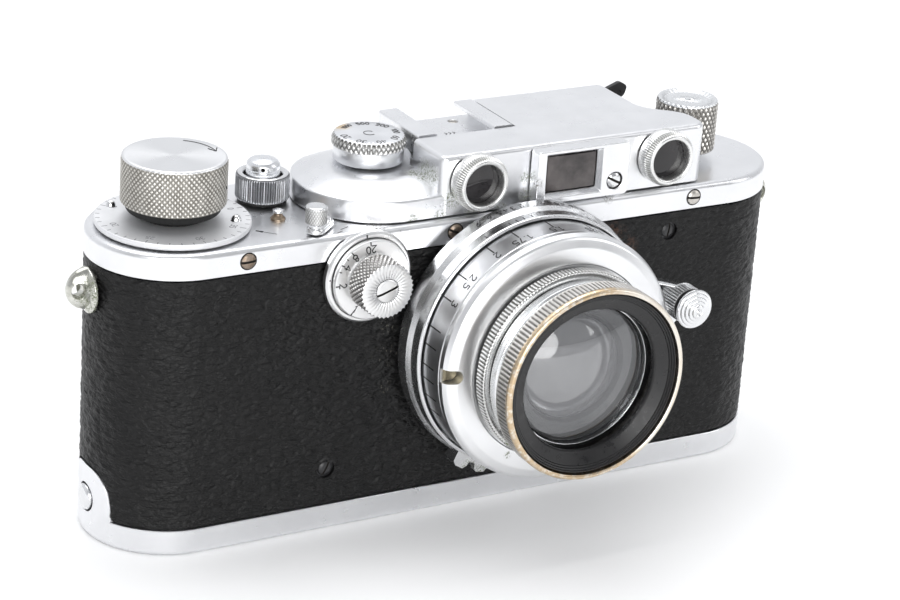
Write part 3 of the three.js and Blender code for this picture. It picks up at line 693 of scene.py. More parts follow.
CR, CS = (0.84, 0.845, 0.86), (0.79, 0.795, 0.81)
SEAM = [(x, -13.6, 55.4, 1.7) for x in (-20, -13, -7.6, -1.5, 4.5, 9.4)] + [(-5.4, -13.5, 58.4, 2.6), (-1.1, -13.5, 56.0, 2.2), (3.4, -13.5, 58.0, 2.2), (9.0, -13.5, 60.3, 1.6), (9.0, -13.5, 57.3, 1.6),
                                                                         (-7.8, -8.0, 61.6, 3.0), (-7.8, -10.5, 62.0, 2.6), (-9.0, -6.5, 61.0, 2.4)]
M_TOP = metal("top_chrome", CR, CS, 0.26, 0.34, spots=[(-24.0, -6.0, 55.0, 3.0), (-20.0, -13.0, 55.0, 2.5), (26.0, -14.0, 54.8, 1.5)], brushed=(0.06, 1, 1))
M_HOUSE = metal("housing_chrome", CR, CS, 0.26, 0.34, spots=SEAM, spot_col=VERDIGRIS)
M_BASE = metal("base_chrome", CR, CS, 0.26, 0.34, brushed=(0.06, 1, 1))
M_SHOE = metal("shoe_chrome", CR, CS, 0.24, 0.34, brushed=(1, 0.05, 1))
M_FRAME = metal("window_chrome", CR, CS, 0.20, 0.28, spots=[(9.8, -16.0, 60.0, 1.4), (11.6, -16.2, 56.2, 1.2)])
M_BEZEL = metal("bezel_chrome", (0.80, 0.80, 0.79), (0.72, 0.72, 0.71), 0.22, 0.32, spots=[(-5.6, -14.5, 59.4, 2.0), (-3.5, -14.5, 57.2, 1.8)], spot_col=VERDIGRIS)
M_KNOB = metal("winding_knob_chrome", (0.83, 0.835, 0.845), (0.80, 0.805, 0.815), 0.26, 0.30, blotch=40, turned=("Z", (KNOB[0], KNOB[1], 67.4)), aniso=0.8)
M_KNURL = metal("knurled_nickel", (0.60, 0.58, 0.55), (0.48, 0.465, 0.44), 0.22, 0.34, blotch=300, spots=[(KNOB[0] + 7.3, -5.0, 62.4, 1.3)], spot_col=(0.20, 0.10, 0.05))
M_RKNOB = metal("rewind_knob_chrome", (0.82, 0.83, 0.84), (0.77, 0.78, 0.79), 0.22, 0.30, turned=("Z", (REWIND[0], REWIND[1], 66)), aniso=0.4)
M_COUNT = metal("counter_satin", (0.74, 0.745, 0.76), (0.66, 0.665, 0.68), 0.42, 0.52, share=0.55, turned=("Z", (KNOB[0], KNOB[1], 56.3)), aniso=0.4)
M_PLAIN = metal("small_chrome", (0.80, 0.805, 0.815), (0.72, 0.725, 0.735), 0.14, 0.24, blotch=300)
M_BUTTON = metal("button_satin", (0.80, 0.81, 0.83), (0.72, 0.73, 0.75), 0.24, 0.34, blotch=300)
M_COLLAR = metal("collar_nickel", (0.42, 0.43, 0.45), (0.30, 0.31, 0.33), 0.20, 0.32, blotch=300)
M_SPEED = metal("speed_dial_satin", (0.80, 0.81, 0.83), (0.74, 0.75, 0.77), 0.28, 0.36, turned=("Z", (DRUM[0], DRUM[1], 66)), aniso=0.4,
                worn=[(DRUM[0] - 3.6, DRUM[1] + 5.2, 65.8, 3.0)], worn_col=(0.74, 0.58, 0.38))
M_SLOW = metal("slow_dial_satin", (0.83, 0.83, 0.83), (0.76, 0.76, 0.76), 0.26, 0.36, turned=("Y", (SLOW[0], -17.7, SLOW[1])), aniso=0.5)
M_SCREW = metal("screw_steel", (0.66, 0.64, 0.61), (0.50, 0.47, 0.43), 0.24, 0.38, blotch=900)
M_RUSTY = metal("screw_rusty", (0.36, 0.30, 0.25), (0.20, 0.15, 0.11), 0.30, 0.50, blotch=1200)
M_STOP = metal("notch_stop", (0.26, 0.23, 0.16), (0.17, 0.15, 0.10), 0.36, 0.52, blotch=1200)
M_MOUNT = metal("mount_chrome", (0.72, 0.725, 0.735), (0.62, 0.625, 0.635), 0.20, 0.30, turned=("Y", (L[0], -20, L[1])), aniso=0.5,
                spots=[(L[0] - 10, -19.8, L[1] - 23.5, 2.2), (L[0] - 7.5, -19.8, L[1] - 24.4, 1.8)], spot_col=VERDIGRIS)
M_DIST = metal("distance_ring_satin", (0.76, 0.765, 0.78), (0.68, 0.685, 0.70), 0.28, 0.36, turned=("Y", (L[0], -24, L[1])), aniso=0.5)
M_FLANGE = metal("lens_flange_satin", (0.86, 0.865, 0.875), (0.81, 0.815, 0.825), 0.28, 0.34, blotch=50, turned=("Y", (L[0], -31, L[1])), aniso=0.6,
                 spots=[(L[0] - 9.5, -31.5, L[1] - 16.2, 1.0), (L[0] + 3, -31.6, L[1] - 19, 1.0)], spot_col=VERDIGRIS)
M_BAYO = metal("bayonet_chrome", (0.72, 0.72, 0.71), (0.60, 0.60, 0.59), 0.20, 0.30, spots=[(L[0] - 11.5, -34, L[1] - 12.5, 2.2)], spot_col=VERDIGRIS)
M_HEAD = metal("lens_head_chrome", (0.80, 0.81, 0.82), (0.73, 0.74, 0.75), 0.18, 0.28, turned=("Y", (L[0], -37, L[1])), aniso=0.4)
M_APER = metal("aperture_ring_chrome", (0.70, 0.69, 0.67), (0.58, 0.57, 0.55), 0.22, 0.32, blotch=300)
M_CREAM = metal("worn_brass_rim", (0.82, 0.78, 0.71), (0.74, 0.67, 0.58), 0.26, 0.40, blotch=260, worn_col=(0.60, 0.46, 0.30),
                worn=[(L[0] + 17 * math.cos(rad(a)), -42.6, L[1] + 17 * math.sin(rad(a)), 7.0) for a in (96, 120, 144, 168, 192, 216, 240, 264, 288)])
M_BRASS = metal("brass", (0.66, 0.50, 0.26), (0.50, 0.36, 0.17), 0.22, 0.40)
M_BRONZE = metal("bronze_foot", (0.30, 0.24, 0.18), (0.20, 0.15, 0.11), 0.30, 0.46, blotch=900)
M_STEEL = metal("steel", (0.52, 0.53, 0.55), (0.42, 0.43, 0.45), 0.24, 0.40)
M_ALU = metal("shell_aluminium", (0.10, 0.10, 0.105), (0.16, 0.16, 0.165), 0.45, 0.62, blotch=260)
M_LUG = metal("lug_nickel", (0.70, 0.70, 0.66), (0.46, 0.46, 0.41), 0.14, 0.30, blotch=500, spots=[(-66.9, -3.0, 43.6, 3.6), (-67.0, -3.2, 46.5, 3.2), (-68.6, -1.6, 44.6, 1.8)], spot_col=VERDIGRIS)
K_WIND = knurled("knurl_winding", "z", KNOB, 9.0, 0.24, (0.74, 0.72, 0.68), (0.62, 0.60, 0.56), 0.30, 0.42, groove_shade_col=(0.17, 0.16, 0.14))
K_REW = knurled("knurl_rewind", "z", REWIND, 5.7, 0.36)
K_PIN = knurled("knurl_lever_pin", "z", PIN, 1.9, 0.12, (0.80, 0.80, 0.80), (0.72, 0.72, 0.72), groove_shade_col=(0.30, 0.30, 0.29))
K_COLLAR = knurled("ribs_collar", "z", RELEASE, 4.7, 0.22, (0.52, 0.53, 0.55), (0.42, 0.43, 0.45), 0.28, 0.38, groove_shade_col=(0.12, 0.12, 0.125))
K_DIAL = knurled("knurl_speed_dial", "z", DRUM, 6.6, 0.34, (0.74, 0.74, 0.73), (0.64, 0.64, 0.63), cone=0.42, h0=65.15)
K_SLOW = knurled("knurl_slow_dial", "y", SLOW, 5.0, 0.32, (0.72, 0.71, 0.70), (0.60, 0.59, 0.58))
K_BAYO = knurled("ribs_bayonet", "y", L, 17.4, 0.20, (0.76, 0.76, 0.75), (0.66, 0.66, 0.65), 0.26, 0.36)
K_APER = knurled("ribs_iris", "y", L, 17.44, 0.22, (0.78, 0.76, 0.74), (0.68, 0.66, 0.63), 0.32, 0.42)
K_FOC = knurled("ribs_focus", "y", FKNOB, 3.3, 0.30, (0.66, 0.665, 0.67), (0.54, 0.545, 0.55), groove_shade_col=(0.09, 0.09, 0.09))
K_RFL = knurled("ribs_window_left", "y", (-1.1, 61.3), 5.0, 0.18, (0.82, 0.82, 0.81), (0.74, 0.74, 0.73), cone=0.7, h0=-16.2, groove_shade_col=(0.33, 0.33, 0.31))
K_RFR = knurled("ribs_window_right", "y", (37.0, 61.3), 5.0, 0.18, (0.82, 0.82, 0.81), (0.74, 0.74, 0.73), cone=0.7, h0=-16.2, groove_shade_col=(0.33, 0.33, 0.31))
M_SEAT = enamel("lens_seat", (0.006, 0.006, 0.006), 0.5)
M_LEATHER = leather("vulcanite")
M_BLACK = enamel("black_enamel")
M_NAME = enamel("black_ring", (0.004, 0.0038, 0.0042), 0.30)
# dull black; on the winding knob's hub it is painted shade under the knob
M_DULL_BLACK = enamel("dull_black", (0.004, 0.004, 0.004), 0.70)
# near-black for screw slots, holes and pockets: painted shade in the recesses
M_RECESS_SHADE = enamel("recess_shade", (0.010, 0.008, 0.006), 0.70)
M_INK = enamel("engraving_black", (0.008, 0.008, 0.009), 0.55)
M_FAINT = enamel("engraving_worn", (0.13, 0.13, 0.14), 0.55)
M_GLASS = glassy("window_glass", (0.010, 0.009, 0.010), (0.020, 0.018, 0.019))
M_VFGLASS = glassy("viewfinder_glass", (0.022, 0.019, 0.019), (0.085, 0.074, 0.072), scale=210)
M_FRONT = clear("front_element", (0.96, 0.97, 0.99), (0.92, 0.93, 0.96), 0.085)
M_INNER = glassy("inner_element", (0.060, 0.060, 0.063), (0.080, 0.080, 0.083), scale=40, rough=0.03, ior=2.1)

# ------------------------------------------------------------ body covering
def make_covering():
    step = 0.38
    n_arc, n_str = int(PI * R_BODY / step), int(2 * HALF / step)
    z0, z1 = 5.0, 50.2
    nz = int((z1 - z0) / step)
    plan, base = stad(1.0, n_arc, 0.0, n_str), []
    # positions on the centre line and outward directions
    for i in range(n_str):
        base.append(((-HALF + 2 * HALF * i / n_str, 0.0), (0.0, -1.0)))
    for i in range(n_arc):
        a = -PI / 2 + PI * i / n_arc
        base.append(((HALF, 0.0), (math.cos(a), math.sin(a))))
    for i in range(n_str):
        base.append(((HALF - 2 * HALF * i / n_str, 0.0), (0.0, 1.0)))
    for i in range(n_arc):
        a = PI / 2 + PI * i / n_arc
        base.append(((-HALF, 0.0), (math.cos(a), math.sin(a))))
    n = len(base)
    rings = []
    for k in range(nz + 1):
        z = z0 + (z1 - z0) * k / nz
        edge = min(k, nz - k)
        row = []
        for (cx, cy), (dx, dy) in base:
            x, y = cx + dx * 14.5, cy + dy * 14.5
            q = Vector((x * 0.5, y * 0.5, z * 0.95))
            q += noise.noise_vector(q * 0.6) * 0.55
            d, _ = noise.voronoi(q)
            g = min(1.0, (d[1] - d[0]) * 2.4)
            big = noise.noise(Vector((x * 0.5, y * 0.5, z * 1.3)))
            r = 14.38 + 0.16 * g + 0.07 * big - (0.12 if edge == 0 else 0.0)
            row.append((cx + dx * r, cy + dy * r, z))
        rings.append(row)
    rings.append([(cx + dx * 13.9, cy + dy * 13.9, z1) for (cx, cy), (dx, dy) in base])
    rings.append([(cx + dx * 13.9, cy + dy * 13.9, z0) for (cx, cy), (dx, dy) in base])
    o = raised([loft(rings, ring_closed=True)])
    op(o, [cyl("y", L, 16.1, -20, -8, 128), prism(ear(0.35), "x", -70, -52), cyl("y", SLOW, 2.6, -20, -8, 32),
           cyl("x", (0, 45.3), 1.5, 60, 70, 24)])
    op(o, [cyl("x", (0, 45.3), 1.5, -70, -60, 24), cyl("y", (-27.8, 11.6), 1.65, -20, -8, 32), cyl("y", (39.6, 46.7), 1.65, -20, -8, 32)])
    return piece(o, "covering", M_LEATHER, "body_covering", sharp=50, weighted=False)


make_covering()


# ---------------------------------------------------------------- base plate
def make_base():
    n = 56
    rings = [[(x, y, 1.4) for x, y in stad(13.9, n)], [(x, y, 4.62) for x, y in stad(13.9, n)], [(x, y, 4.7) for x, y in stad(13.98, n)],
             [(x, y, 4.7) for x, y in stad(14.48, n)], [(x, y, 4.58) for x, y in stad(14.6, n)]]
    r = 0.95
    for i in range(8):
        a = i / 7 * PI / 2
        rings.append([(x, y, r - r * math.sin(a)) for x, y in stad(R_BODY - r + r * math.cos(a), n)])
    rings.append([(x, y, 0.0) for x, y in stad(R_BODY - r - 0.3, n)])
    o = raised([loft(rings)])
    band = raised([loft([[(x, y, z) for x, y in stad(q, 90)] for q, z in ((13.9, 3.2), (13.9, 14), (14.6, 14), (14.6, 3.2))], ring_closed=True)])
    op(band, [prism(ear(), "x", -70, -52)], "INTERSECT")
    me = band.data
    part = ([tuple(v.co) for v in me.vertices], [tuple(p.vertices) for p in me.polygons], [0] * len(me.polygons))
    bpy.data.objects.remove(band)
    op(o, [part], "UNION")
    op(o, [cyl("z", REWIND, 11.6, 0.5, 3.3, 96)], "UNION")
    op(o, [cyl("x", (0, 7.0), 2.65, -70, -60, 48), lathe("z", REWIND, [(0, -5), (9.2, -5), (9.2, 2.3), (3.0, 2.3), (3.0, 9), (0, 9)], 128),
           cyl("z", KNOB, 6.2, -5, 9, 96)])
    piece(o, "base", M_BASE, "base_plate", sharp=32, bevel=0.12, bseg=2)
    ink = Ink()
    for i in range(7):
        t = rad(-120 + 10 * i)
        ink.line([(-0.0, -0.6), (0.0, 0.6)], 0.22, on_disc("z", REWIND, 0.0, (0, 0, -1), 10.6, t))
    for s in (-1, 1):
        a = [(10.6 * rad(-150 + 3 * i) * 1.0, 0) for i in range(8)]
        ink.line([(x * 1.0, 0.0) for x, _ in a], 0.22, on_disc("z", REWIND, 0.0, (0, 0, -1), 10.6, rad(0 if s > 0 else 100)))
    piece(ink.parts(), "base_marks", M_INK, body="base", weighted=False)
    prof = fil([(0, 7.0), (4.3, 7.0), (4.76, 6.5), (4.76, 0.5), (5.0, 0.0), (5.9, 0.0), (5.9, 1.7), (7.4, 1.7), (7.4, 8.0), (0, 8.0)], 0.12, 2, False)
    # thread turns as ridges on the bore
    thread = [(0, 7.0), (4.3, 7.0)] + [(4.76 - (0.0 if i % 2 else 0.35), 6.6 - 0.42 * i) for i in range(15)] + [(5.05, 0.0), (5.75, 0.0), (5.9, 0.15), (5.9, 1.7), (7.4, 1.7), (7.4, 8.0), (0, 8.0)]
    piece([lathe("z", KNOB, thread, 72)], "tripod_socket", M_BRASS, "tripod_bush", sharp=25)
    key = raised([lathe("z", REWIND, fil([(0, 0.3), (8.9, 0.3, 0.35), (8.9, 2.0), (2.7, 2.0), (2.7, 3.6), (7.6, 3.6), (7.6, 5.0), (0, 5.0)], 0.12, 3, False), 128)])
    half = [(REWIND[0] + 8.2 * math.cos(PI + 0.013 + PI * i / 40), 8.2 * math.sin(PI + 0.013 + PI * i / 40)) for i in range(41)] + \
           [(REWIND[0] + 5.1 * math.cos(TAU + 0.017 - PI * i / 40), 5.1 * math.sin(TAU + 0.017 - PI * i / 40)) for i in range(41)]
    op(key, [prism(half, "z", -1, 1.45)])
    op(key, [box(REWIND[0] - 8.0, REWIND[0] + 8.0, -0.9, 0.9, -1.2, 1.52)])
    op(key, [box(REWIND[0] + 4.5, REWIND[0] + 9, -3, 3, 3.3, 6)])
    piece(key, "lock_disc", M_PLAIN, "lock_key", sharp=32)
    ring = []
    for i in range(49):
        t = PI + PI * i / 48
        c = Vector((REWIND[0] + 6.6 * math.cos(t), 6.6 * math.sin(t), 0.75))
        d = Vector((math.cos(t), math.sin(t), 0))
        sec = fil([(-1.0, -0.4), (1.0, -0.4), (1.0, 0.4), (-1.0, 0.4)], 0.22, 3)
        ring.append([tuple(c + d * a + Vector((0, 0, b))) for a, b in sec])
    piece([loft(ring), rod((REWIND[0] - 7.6, 0, 0.75), (REWIND[0] + 7.6, 0, 0.75), 0.4, 20)], "lock_grip", M_PLAIN, "lock_handle", sharp=40)


make_base()


# ----------------------------------------------------------------- top plate
def make_top():
    n = 56
    rings = [[(x, y, 54.0) for x, y in stad(13.6, n)], [(x, y, 50.5) for x, y in stad(13.6, n)], [(x, y, 50.5) for x, y in stad(14.5, n)], [(x, y, 50.6) for x, y in stad(14.6, n)]]
    r = 1.0
    for i in range(9):
        a = i / 8 * PI / 2
        rings.append([(x, y, 55.0 - r + r * math.sin(a)) for x, y in stad(R_BODY - r + r * math.cos(a), n)])
    rings.append([(x, y, 55.0) for x, y in stad(R_BODY - r - 0.3, n)])
    o = raised([loft(rings)])
    op(o, [cyl("z", KNOB, 2.9, 40, 60, 32), cyl("z", RELEASE, 1.8, 40, 60, 32), cyl("z", DRUM, 3.1, 40, 60, 32), cyl("z", REWIND, 2.2, 40, 60, 32), cyl("z", LEVER, 1.2, 40, 60, 24),
           cyl("y", SLOW, 2.4, -20, -8, 32)] + [cyl("y", (x, 52.7), 1.55, -16, -13.9, 40, 1) for x in (-44.5, -5.1, 44.1)])
    piece(o, "top_cover", [M_TOP, M_RECESS_SHADE], "top_plate", sharp=40)
    stud = fil([(0, 54.9), (1.3, 54.9), (1.3, 55.3), (1.0, 55.6), (0.75, 55.9), (0.75, 56.2), (0.95, 56.35), (0.95, 56.75), (0, 57.0)], 0.08, 2, False)
    piece([lathe("z", (-34.0, -4.2), stud, 40, mat=lambda k: 0 if stud[k][1] < 56.2 else 1)], "index_stud", [M_BRONZE, M_PLAIN], body="root")
    ink = Ink()
    # arrow beside the counter, pointing to it
    a, b = Vector((-37.2, -10.4)), Vector((-39.9, -7.7))
    to = lambda x, y: (Vector((x, y, 55.0)), Vector((0, 0, 1)))
    ink.line([tuple(a), tuple(a.lerp(b, 0.72))], 0.12, to)
    d = (b - a).normalized()
    s = Vector((-d.y, d.x))
    h = a.lerp(b, 0.66)
    ink.line([tuple(h), tuple(b)], 0.42, to)
    ink.line([tuple(h + s * 0.25), tuple(h.lerp(b, 0.5) + s * 0.12)], 0.2, to)
    ink.line([tuple(h - s * 0.25), tuple(h.lerp(b, 0.5) - s * 0.12)], 0.2, to)
    # stop marks of the rewind lever
    for x0, y0, x1, y1 in ((-26.2, -12.2, -24.4, -11.4), (-27.4, -13.4, -26.2, -12.9)):
        ink.line([(x0, y0), (x1, y1)], 0.16, to)
    piece(ink.parts(), "top_marks", M_INK, body="root", weighted=False)


make_top()


def screw(name, node, c, r, y_back, y_front, turn, mat, stem=0.55, deep=3.0, slot_w=0.34, slot_d=0.4, dome=0.25):
    """Slotted screw head that faces -Y."""
    prof = fil([(0, y_front), (r * 0.6, y_front + dome * 0.25), (r * 0.92, y_front + dome, 0.1), (r, y_front + dome + 0.12), (r, y_back), (stem, y_back), (stem, y_back + deep), (0, y_back + deep)], 0.06, 2, False)
    o = raised([lathe("y", c, prof, 48)])
    d = Vector((math.cos(rad(turn)), math.sin(rad(turn))))
    s = Vector((-d.y, d.x)) * slot_w / 2
    q = [tuple(Vector(c) + d * (r + 0.5) * a + s * b) for a, b in ((-1, -1), (1, -1), (1, 1), (-1, 1))]
    op(o, [prism(q, "y", y_front - 1, y_front + slot_d, 1)])
    return piece(o, name, [mat, M_RECESS_SHADE], node, sharp=35, body=None if node else "root")


for x, tag, t, m in ((-44.5, "left", 3, M_RUSTY), (-5.1, "middle", -23, M_RUSTY), (44.1, "right", -4, M_SCREW)):
    screw("cover_screw_" + tag, "top_screw_" + tag, (x, 52.7), 1.35, -14.4, -15.05, t, m, slot_w=0.42, slot_d=0.5)
screw("case_screw_left", "front_screw_left", (-27.8, 11.6), 1.35, -13.6, -14.4, 62, M_BLACK, 0.6, 2.3)
screw("case_screw_right", "front_screw_right", (39.6, 46.7), 1.35, -13.6, -14.3, 80, M_BLACK, 0.6, 2.3)


# ------------------------------------------------------------ finder housing
def make_housing():
    # stepped platform under the speed dial
    c, rings = (-13.9, 0.65), []
    k = 0.78 * PI / 2
    sec = [(0.0, 55.25), (0.0, 58.55), (0.04, 58.75), (0.16, 58.92), (0.36, 59.05)]
    sec += [(0.36 + 5.94 * i / 10, 59.05 + 1.95 * math.sin(k * i / 10) / math.sin(k)) for i in range(1, 11)] + [(6.42, 61.0), (6.9, 61.0)]
    for d, z in sec:
        r = 13.95 - d
        ring = [(c[0] + r * math.cos(a), c[1] + min(11.8, max(-14.05, r * math.sin(a))), z) for a in (PI / 2 + PI * i / 90 for i in range(91))]
        ring += [(19.0, ring[-1][1], z), (19.0, ring[0][1], z)]
        rings.append(ring[::-1])
    o = raised([loft(rings)])
    # tall box with the windows
    def rom(pts, n=5):
        out = []
        for i in range(1, len(pts) - 2):
            p0, p1, p2, p3 = (Vector(p) for p in pts[i - 1:i + 3])
            for k in range(n):
                t = k / n
                out.append(tuple(0.5 * (2 * p1 + (p2 - p0) * t + (2 * p0 - 5 * p1 + 4 * p2 - p3) * t * t + (3 * p1 - p0 - 3 * p2 + p3) * t ** 3)))
        return out
    s_curve = rom([(46.5, -11.2), (46.5, -8.9), (45.8, -6.5), (44.2, -4.6), (42.2, -3.0), (40.7, -1.0), (40.1, 1.6), (40.1, 6.0)])
    corner = [(46.5 - 2.2 + 2.2 * math.cos(a), -13.4 + 2.2 + 2.2 * math.sin(a)) for a in (-PI / 2 + PI / 2 * i / 10 for i in range(11))]
    left = [(-7.8 + 1.3 + 1.3 * math.cos(a), -13.4 + 1.3 + 1.3 * math.sin(a)) for a in (PI + PI / 2 * i / 8 for i in range(9))]
    back = [(40.1 - 1.3 + 1.3 * math.cos(a), 12.6 - 1.3 + 1.3 * math.sin(a)) for a in (PI / 2 * i / 6 for i in range(7))] + [(-7.8, 12.6)]
    outline = left + corner + s_curve + back
    rr, rings = 0.85, []
    rings.append([(x, y, 55.3) for x, y in outline])
    for i in range(8):
        a = i / 7 * PI / 2
        d = rr - rr * math.cos(a)
        rings.append([(x, y, 66.0 - rr + rr * math.sin(a)) for x, y in inset(outline, d)])
    rings.append([(x, y, 66.0) for x, y in inset(outline, rr + 0.25)])
    tall = raised([loft(rings)])
    op(tall, [cyl("z", DRUM, 7.4, 60.9, 80, 160)])
    op(tall, [box(-9, 12.6, -3.2, 20, 62.4, 80)])
    me = tall.data
    part = ([tuple(v.co) for v in me.vertices], [tuple(p.vertices) for p in me.polygons], [0] * len(me.polygons))
    bpy.data.objects.remove(tall)
    op(o, [part], "UNION")
    op(o, [cyl("z", DRUM, 3.1, 50, 80, 48), cyl("y", (-1.1, 61.3), 4.0, -20, -8, 64), cyl("y", (37.0, 61.3), 4.0, -20, -8, 64), box(12.0, 22.4, -20, -8, 57.6, 64.5),
           cyl("y", VFEYE, 2.8, 8, 20, 48), cyl("y", DIOPT, 3.0, 8, 20, 48)])
    piece(o, "finder_cover", M_HOUSE, "finder_housing", sharp=38)


make_housing()


def make_shoe():
    x0, x1 = -6.75, 12.3
    out = fil([(x0, 62.7, 0.15), (x1, 62.7, 0.15), (x1, 66.3, 0.5), (x1 - 3.8, 66.3, 0.3), (x1 - 3.8, 65.4, 0.2), (x1 - 0.7, 65.4, 0.1), (x1 - 0.7, 63.5, 0.1), (x0 + 0.7, 63.5, 0.1),
               (x0 + 0.7, 65.4, 0.1), (x0 + 3.8, 65.4, 0.2), (x0 + 3.8, 66.3, 0.3), (x0, 66.3, 0.5)], 0.15, 4)
    o = raised([prism(out, "y", -2.8, 11.6)])
    for x, y in ((-1.4, 1.2), (7.0, 1.2), (-1.4, 9.0), (7.0, 9.0)):
        op(o, [cyl("z", (x, y), 0.95, 63.3, 64, 32)])
    piece(o, "shoe", M_SHOE, "accessory_shoe", sharp=35, bevel=0.14, bseg=3)
    parts = []
    for k, (x, y) in enumerate(((-1.4, 1.2), (7.0, 1.2), (-1.4, 9.0), (7.0, 9.0))):
        s = raised([lathe("z", (x, y), fil([(0, 63.1), (0.85, 63.1), (0.85, 63.45), (0, 63.5)], 0.06, 2, False), 32)])
        t = rad(25 + 50 * k)
        d, w = Vector((math.cos(t), math.sin(t))), Vector((-math.sin(t), math.cos(t))) * 0.12
        op(s, [prism([tuple(Vector((x, y)) + d * a + w * b) for a, b in ((-1.2, -1), (1.2, -1), (1.2, 1), (-1.2, 1))], "z", 63.3, 64)])
        parts.append(([tuple(v.co) for v in s.data.vertices], [tuple(p.vertices) for p in s.data.polygons], [0] * len(s.data.polygons)))
        bpy.data.objects.remove(s)
    piece(parts, "shoe_screws", M_SCREW, body="root")
    ink = Ink()
    to = lambda x, y: (Vector((x, y, 63.5)), Vector((0, 0, 1)))
    ink.line([(-3.4, 0.6), (-1.2, 0.6)], 0.16, to)
    ink.line([(-3.6, 0.6), (-2.7, 0.6)], 0.4, to)
    for x in (2.2, 3.0, 3.8):
        ink.line([(x, 3.0), (x + 0.5, 3.5), (x + 0.2, 4.0)], 0.16, to)
    piece(ink.parts(), "shoe_mark", M_INK, body="root", weighted=False)


make_shoe()


# -------------------------------------------------------- windows and finders
for x, tag in ((-1.1, "left"), (37.0, "right")):
    c = (x, 61.3)
    prof = [(3.62, -13.7), (5.0, -13.7), (5.0, -15.3)] + dense((5.0, -15.45), (5.0, -16.1), 0.16) + dense((4.98, -16.2), (4.52, -16.85), 0.16) + [(4.46, -16.95), (4.3, -17.0), (4.0, -16.98), (3.86, -16.9), (3.78, -16.7), (3.62, -15.2)]
    piece([lathe("y", c, prof, 72 * 6, ribs(72, 0.18, -16.75, -15.35, 0.12, 0.8), lambda k: 1 if 3 <= k < len(prof) - 6 else 0)], "rf_window_ring_" + tag, [M_BEZEL, K_RFL if tag == "left" else K_RFR], "rf_bezel_" + tag, sharp=45)
    bulge = [(3.55 * i / 8, -15.3 + 0.2 * (i / 8) ** 2) for i in range(9)]
    piece([lathe("y", c, bulge + [(3.55, -14.9), (0, -14.9)], 72)], "rf_window_glass_" + tag, M_GLASS, "rf_glass_" + tag, sharp=50)


def make_window():
    o = raised([prism(fil([(9.7, 56.0, 0.7), (28.5, 56.0, 0.9), (28.5, 65.7, 0.9), (9.7, 65.7, 0.7)], 0.7, 5), "y", -16.2, -13.7)])
    # sloped walls of the window, then the lower pad round the screw
    rings = [[(x, -16.6, z) for x, z in ((11.2, 56.8), (23.2, 56.8), (23.2, 65.3), (11.2, 65.3))], [(x, -15.0, z) for x, z in ((12.1, 57.7), (22.3, 57.7), (22.3, 64.4), (12.1, 64.4))],
             [(x, -8.0, z) for x, z in ((12.1, 57.7), (22.3, 57.7), (22.3, 64.4), (12.1, 64.4))]]
    op(o, [loft(rings)])
    op(o, [cyl("y", (25.7, 58.7), 1.62, -17, -15.3, 48, 1)])
    piece(o, "viewfinder_surround", [M_FRAME, M_RECESS_SHADE], "viewfinder_frame", sharp=35, bevel=0.16, bseg=3)
    g = [(12.3, 57.9), (22.1, 57.9), (22.1, 64.2), (12.3, 64.2)]
    v, f, nx, nz = [], [], 10, 8
    for j in range(nz + 1):
        for i in range(nx + 1):
            u, w = i / nx * 2 - 1, j / nz * 2 - 1
            v.append((17.2 + 4.9 * u, -15.2 + 0.25 * (u * u + w * w) / 2, 61.05 + 3.15 * w))
    front = len(v)
    for j in range(nz):
        for i in range(nx):
            a = j * (nx + 1) + i
            f.append((a, a + 1, a + nx + 2, a + nx + 1))
    v += [(p[0], -14.2, p[2]) for p in v[:front]]
    edge = [i for i in range(nx + 1)] + [j * (nx + 1) + nx for j in range(1, nz + 1)] + [nz * (nx + 1) + i for i in range(nx - 1, -1, -1)] + [j * (nx + 1) for j in range(nz - 1, 0, -1)]
    for k, a in enumerate(edge):
        b = edge[(k + 1) % len(edge)]
        f.append((a, b, b + front, a + front))
    f += [tuple(i + front for i in q[::-1]) for q in f[:nx * nz]]
    piece([(v, f, [0] * len(f))], "viewfinder_pane", M_VFGLASS, "viewfinder_glass", sharp=50)


make_window()
screw("viewfinder_screw", (), (25.7, 58.7), 1.42, -15.35, -16.25, -28, M_PLAIN, 0.5, 0.4, slot_w=0.45, slot_d=0.5)

eye = fil([(2.5, 12.9), (3.9, 12.9), (3.9, 14.6, 0.3), (3.6, 15.0, 0.2), (2.9, 15.0, 0.2), (2.5, 14.2)], 0.12, 3)
piece([lathe("y", VFEYE, eye, 96), lathe("y", VFEYE, [(0, 12.7)] + [(2.45 * i / 5, 13.5 - 0.2 * (i / 5) ** 2) for i in range(5, -1, -1)], 64, mat=1)], "viewfinder_eyecup", [M_BLACK, M_GLASS], "viewfinder_eyepiece")
ring = lathe("y", DIOPT, fil([(2.7, 12.9), (3.9, 12.9)], 0.1, 2, False) + dense((3.9, 13.1), (3.9, 14.7), 0.2) + [(3.8, 14.95), (3.6, 15.2), (3.0, 15.2), (2.7, 14.8)], 44 * 5, ribs(44, 0.16, 13.0, 14.9))
def tilt(a, b, t=rad(21)):
    return DIOPT[0] + a * math.cos(t) - b * math.sin(t), DIOPT[1] + a * math.sin(t) + b * math.cos(t)


tab_out = fil([tilt(*q) for q in ((3.4, -1.5), (8.6, -1.5), (9.9, 0.0), (8.6, 1.5), (3.4, 1.5))], 1.0, 5)
tab = loft([[(x, y, z) for x, z in inset(tab_out, d)] for d, y in ((0.25, 13.2), (0, 13.35), (0, 14.15), (0.3, 14.4))])
piece([ring, tab, lathe("y", DIOPT, [(0, 12.95)] + [(2.65 * i / 5, 13.7 - 0.2 * (i / 5) ** 2) for i in range(5, -1, -1)], 64, mat=1)], "dioptre_eyecup", [M_BLACK, M_GLASS], "dioptre_ring", sharp=45)


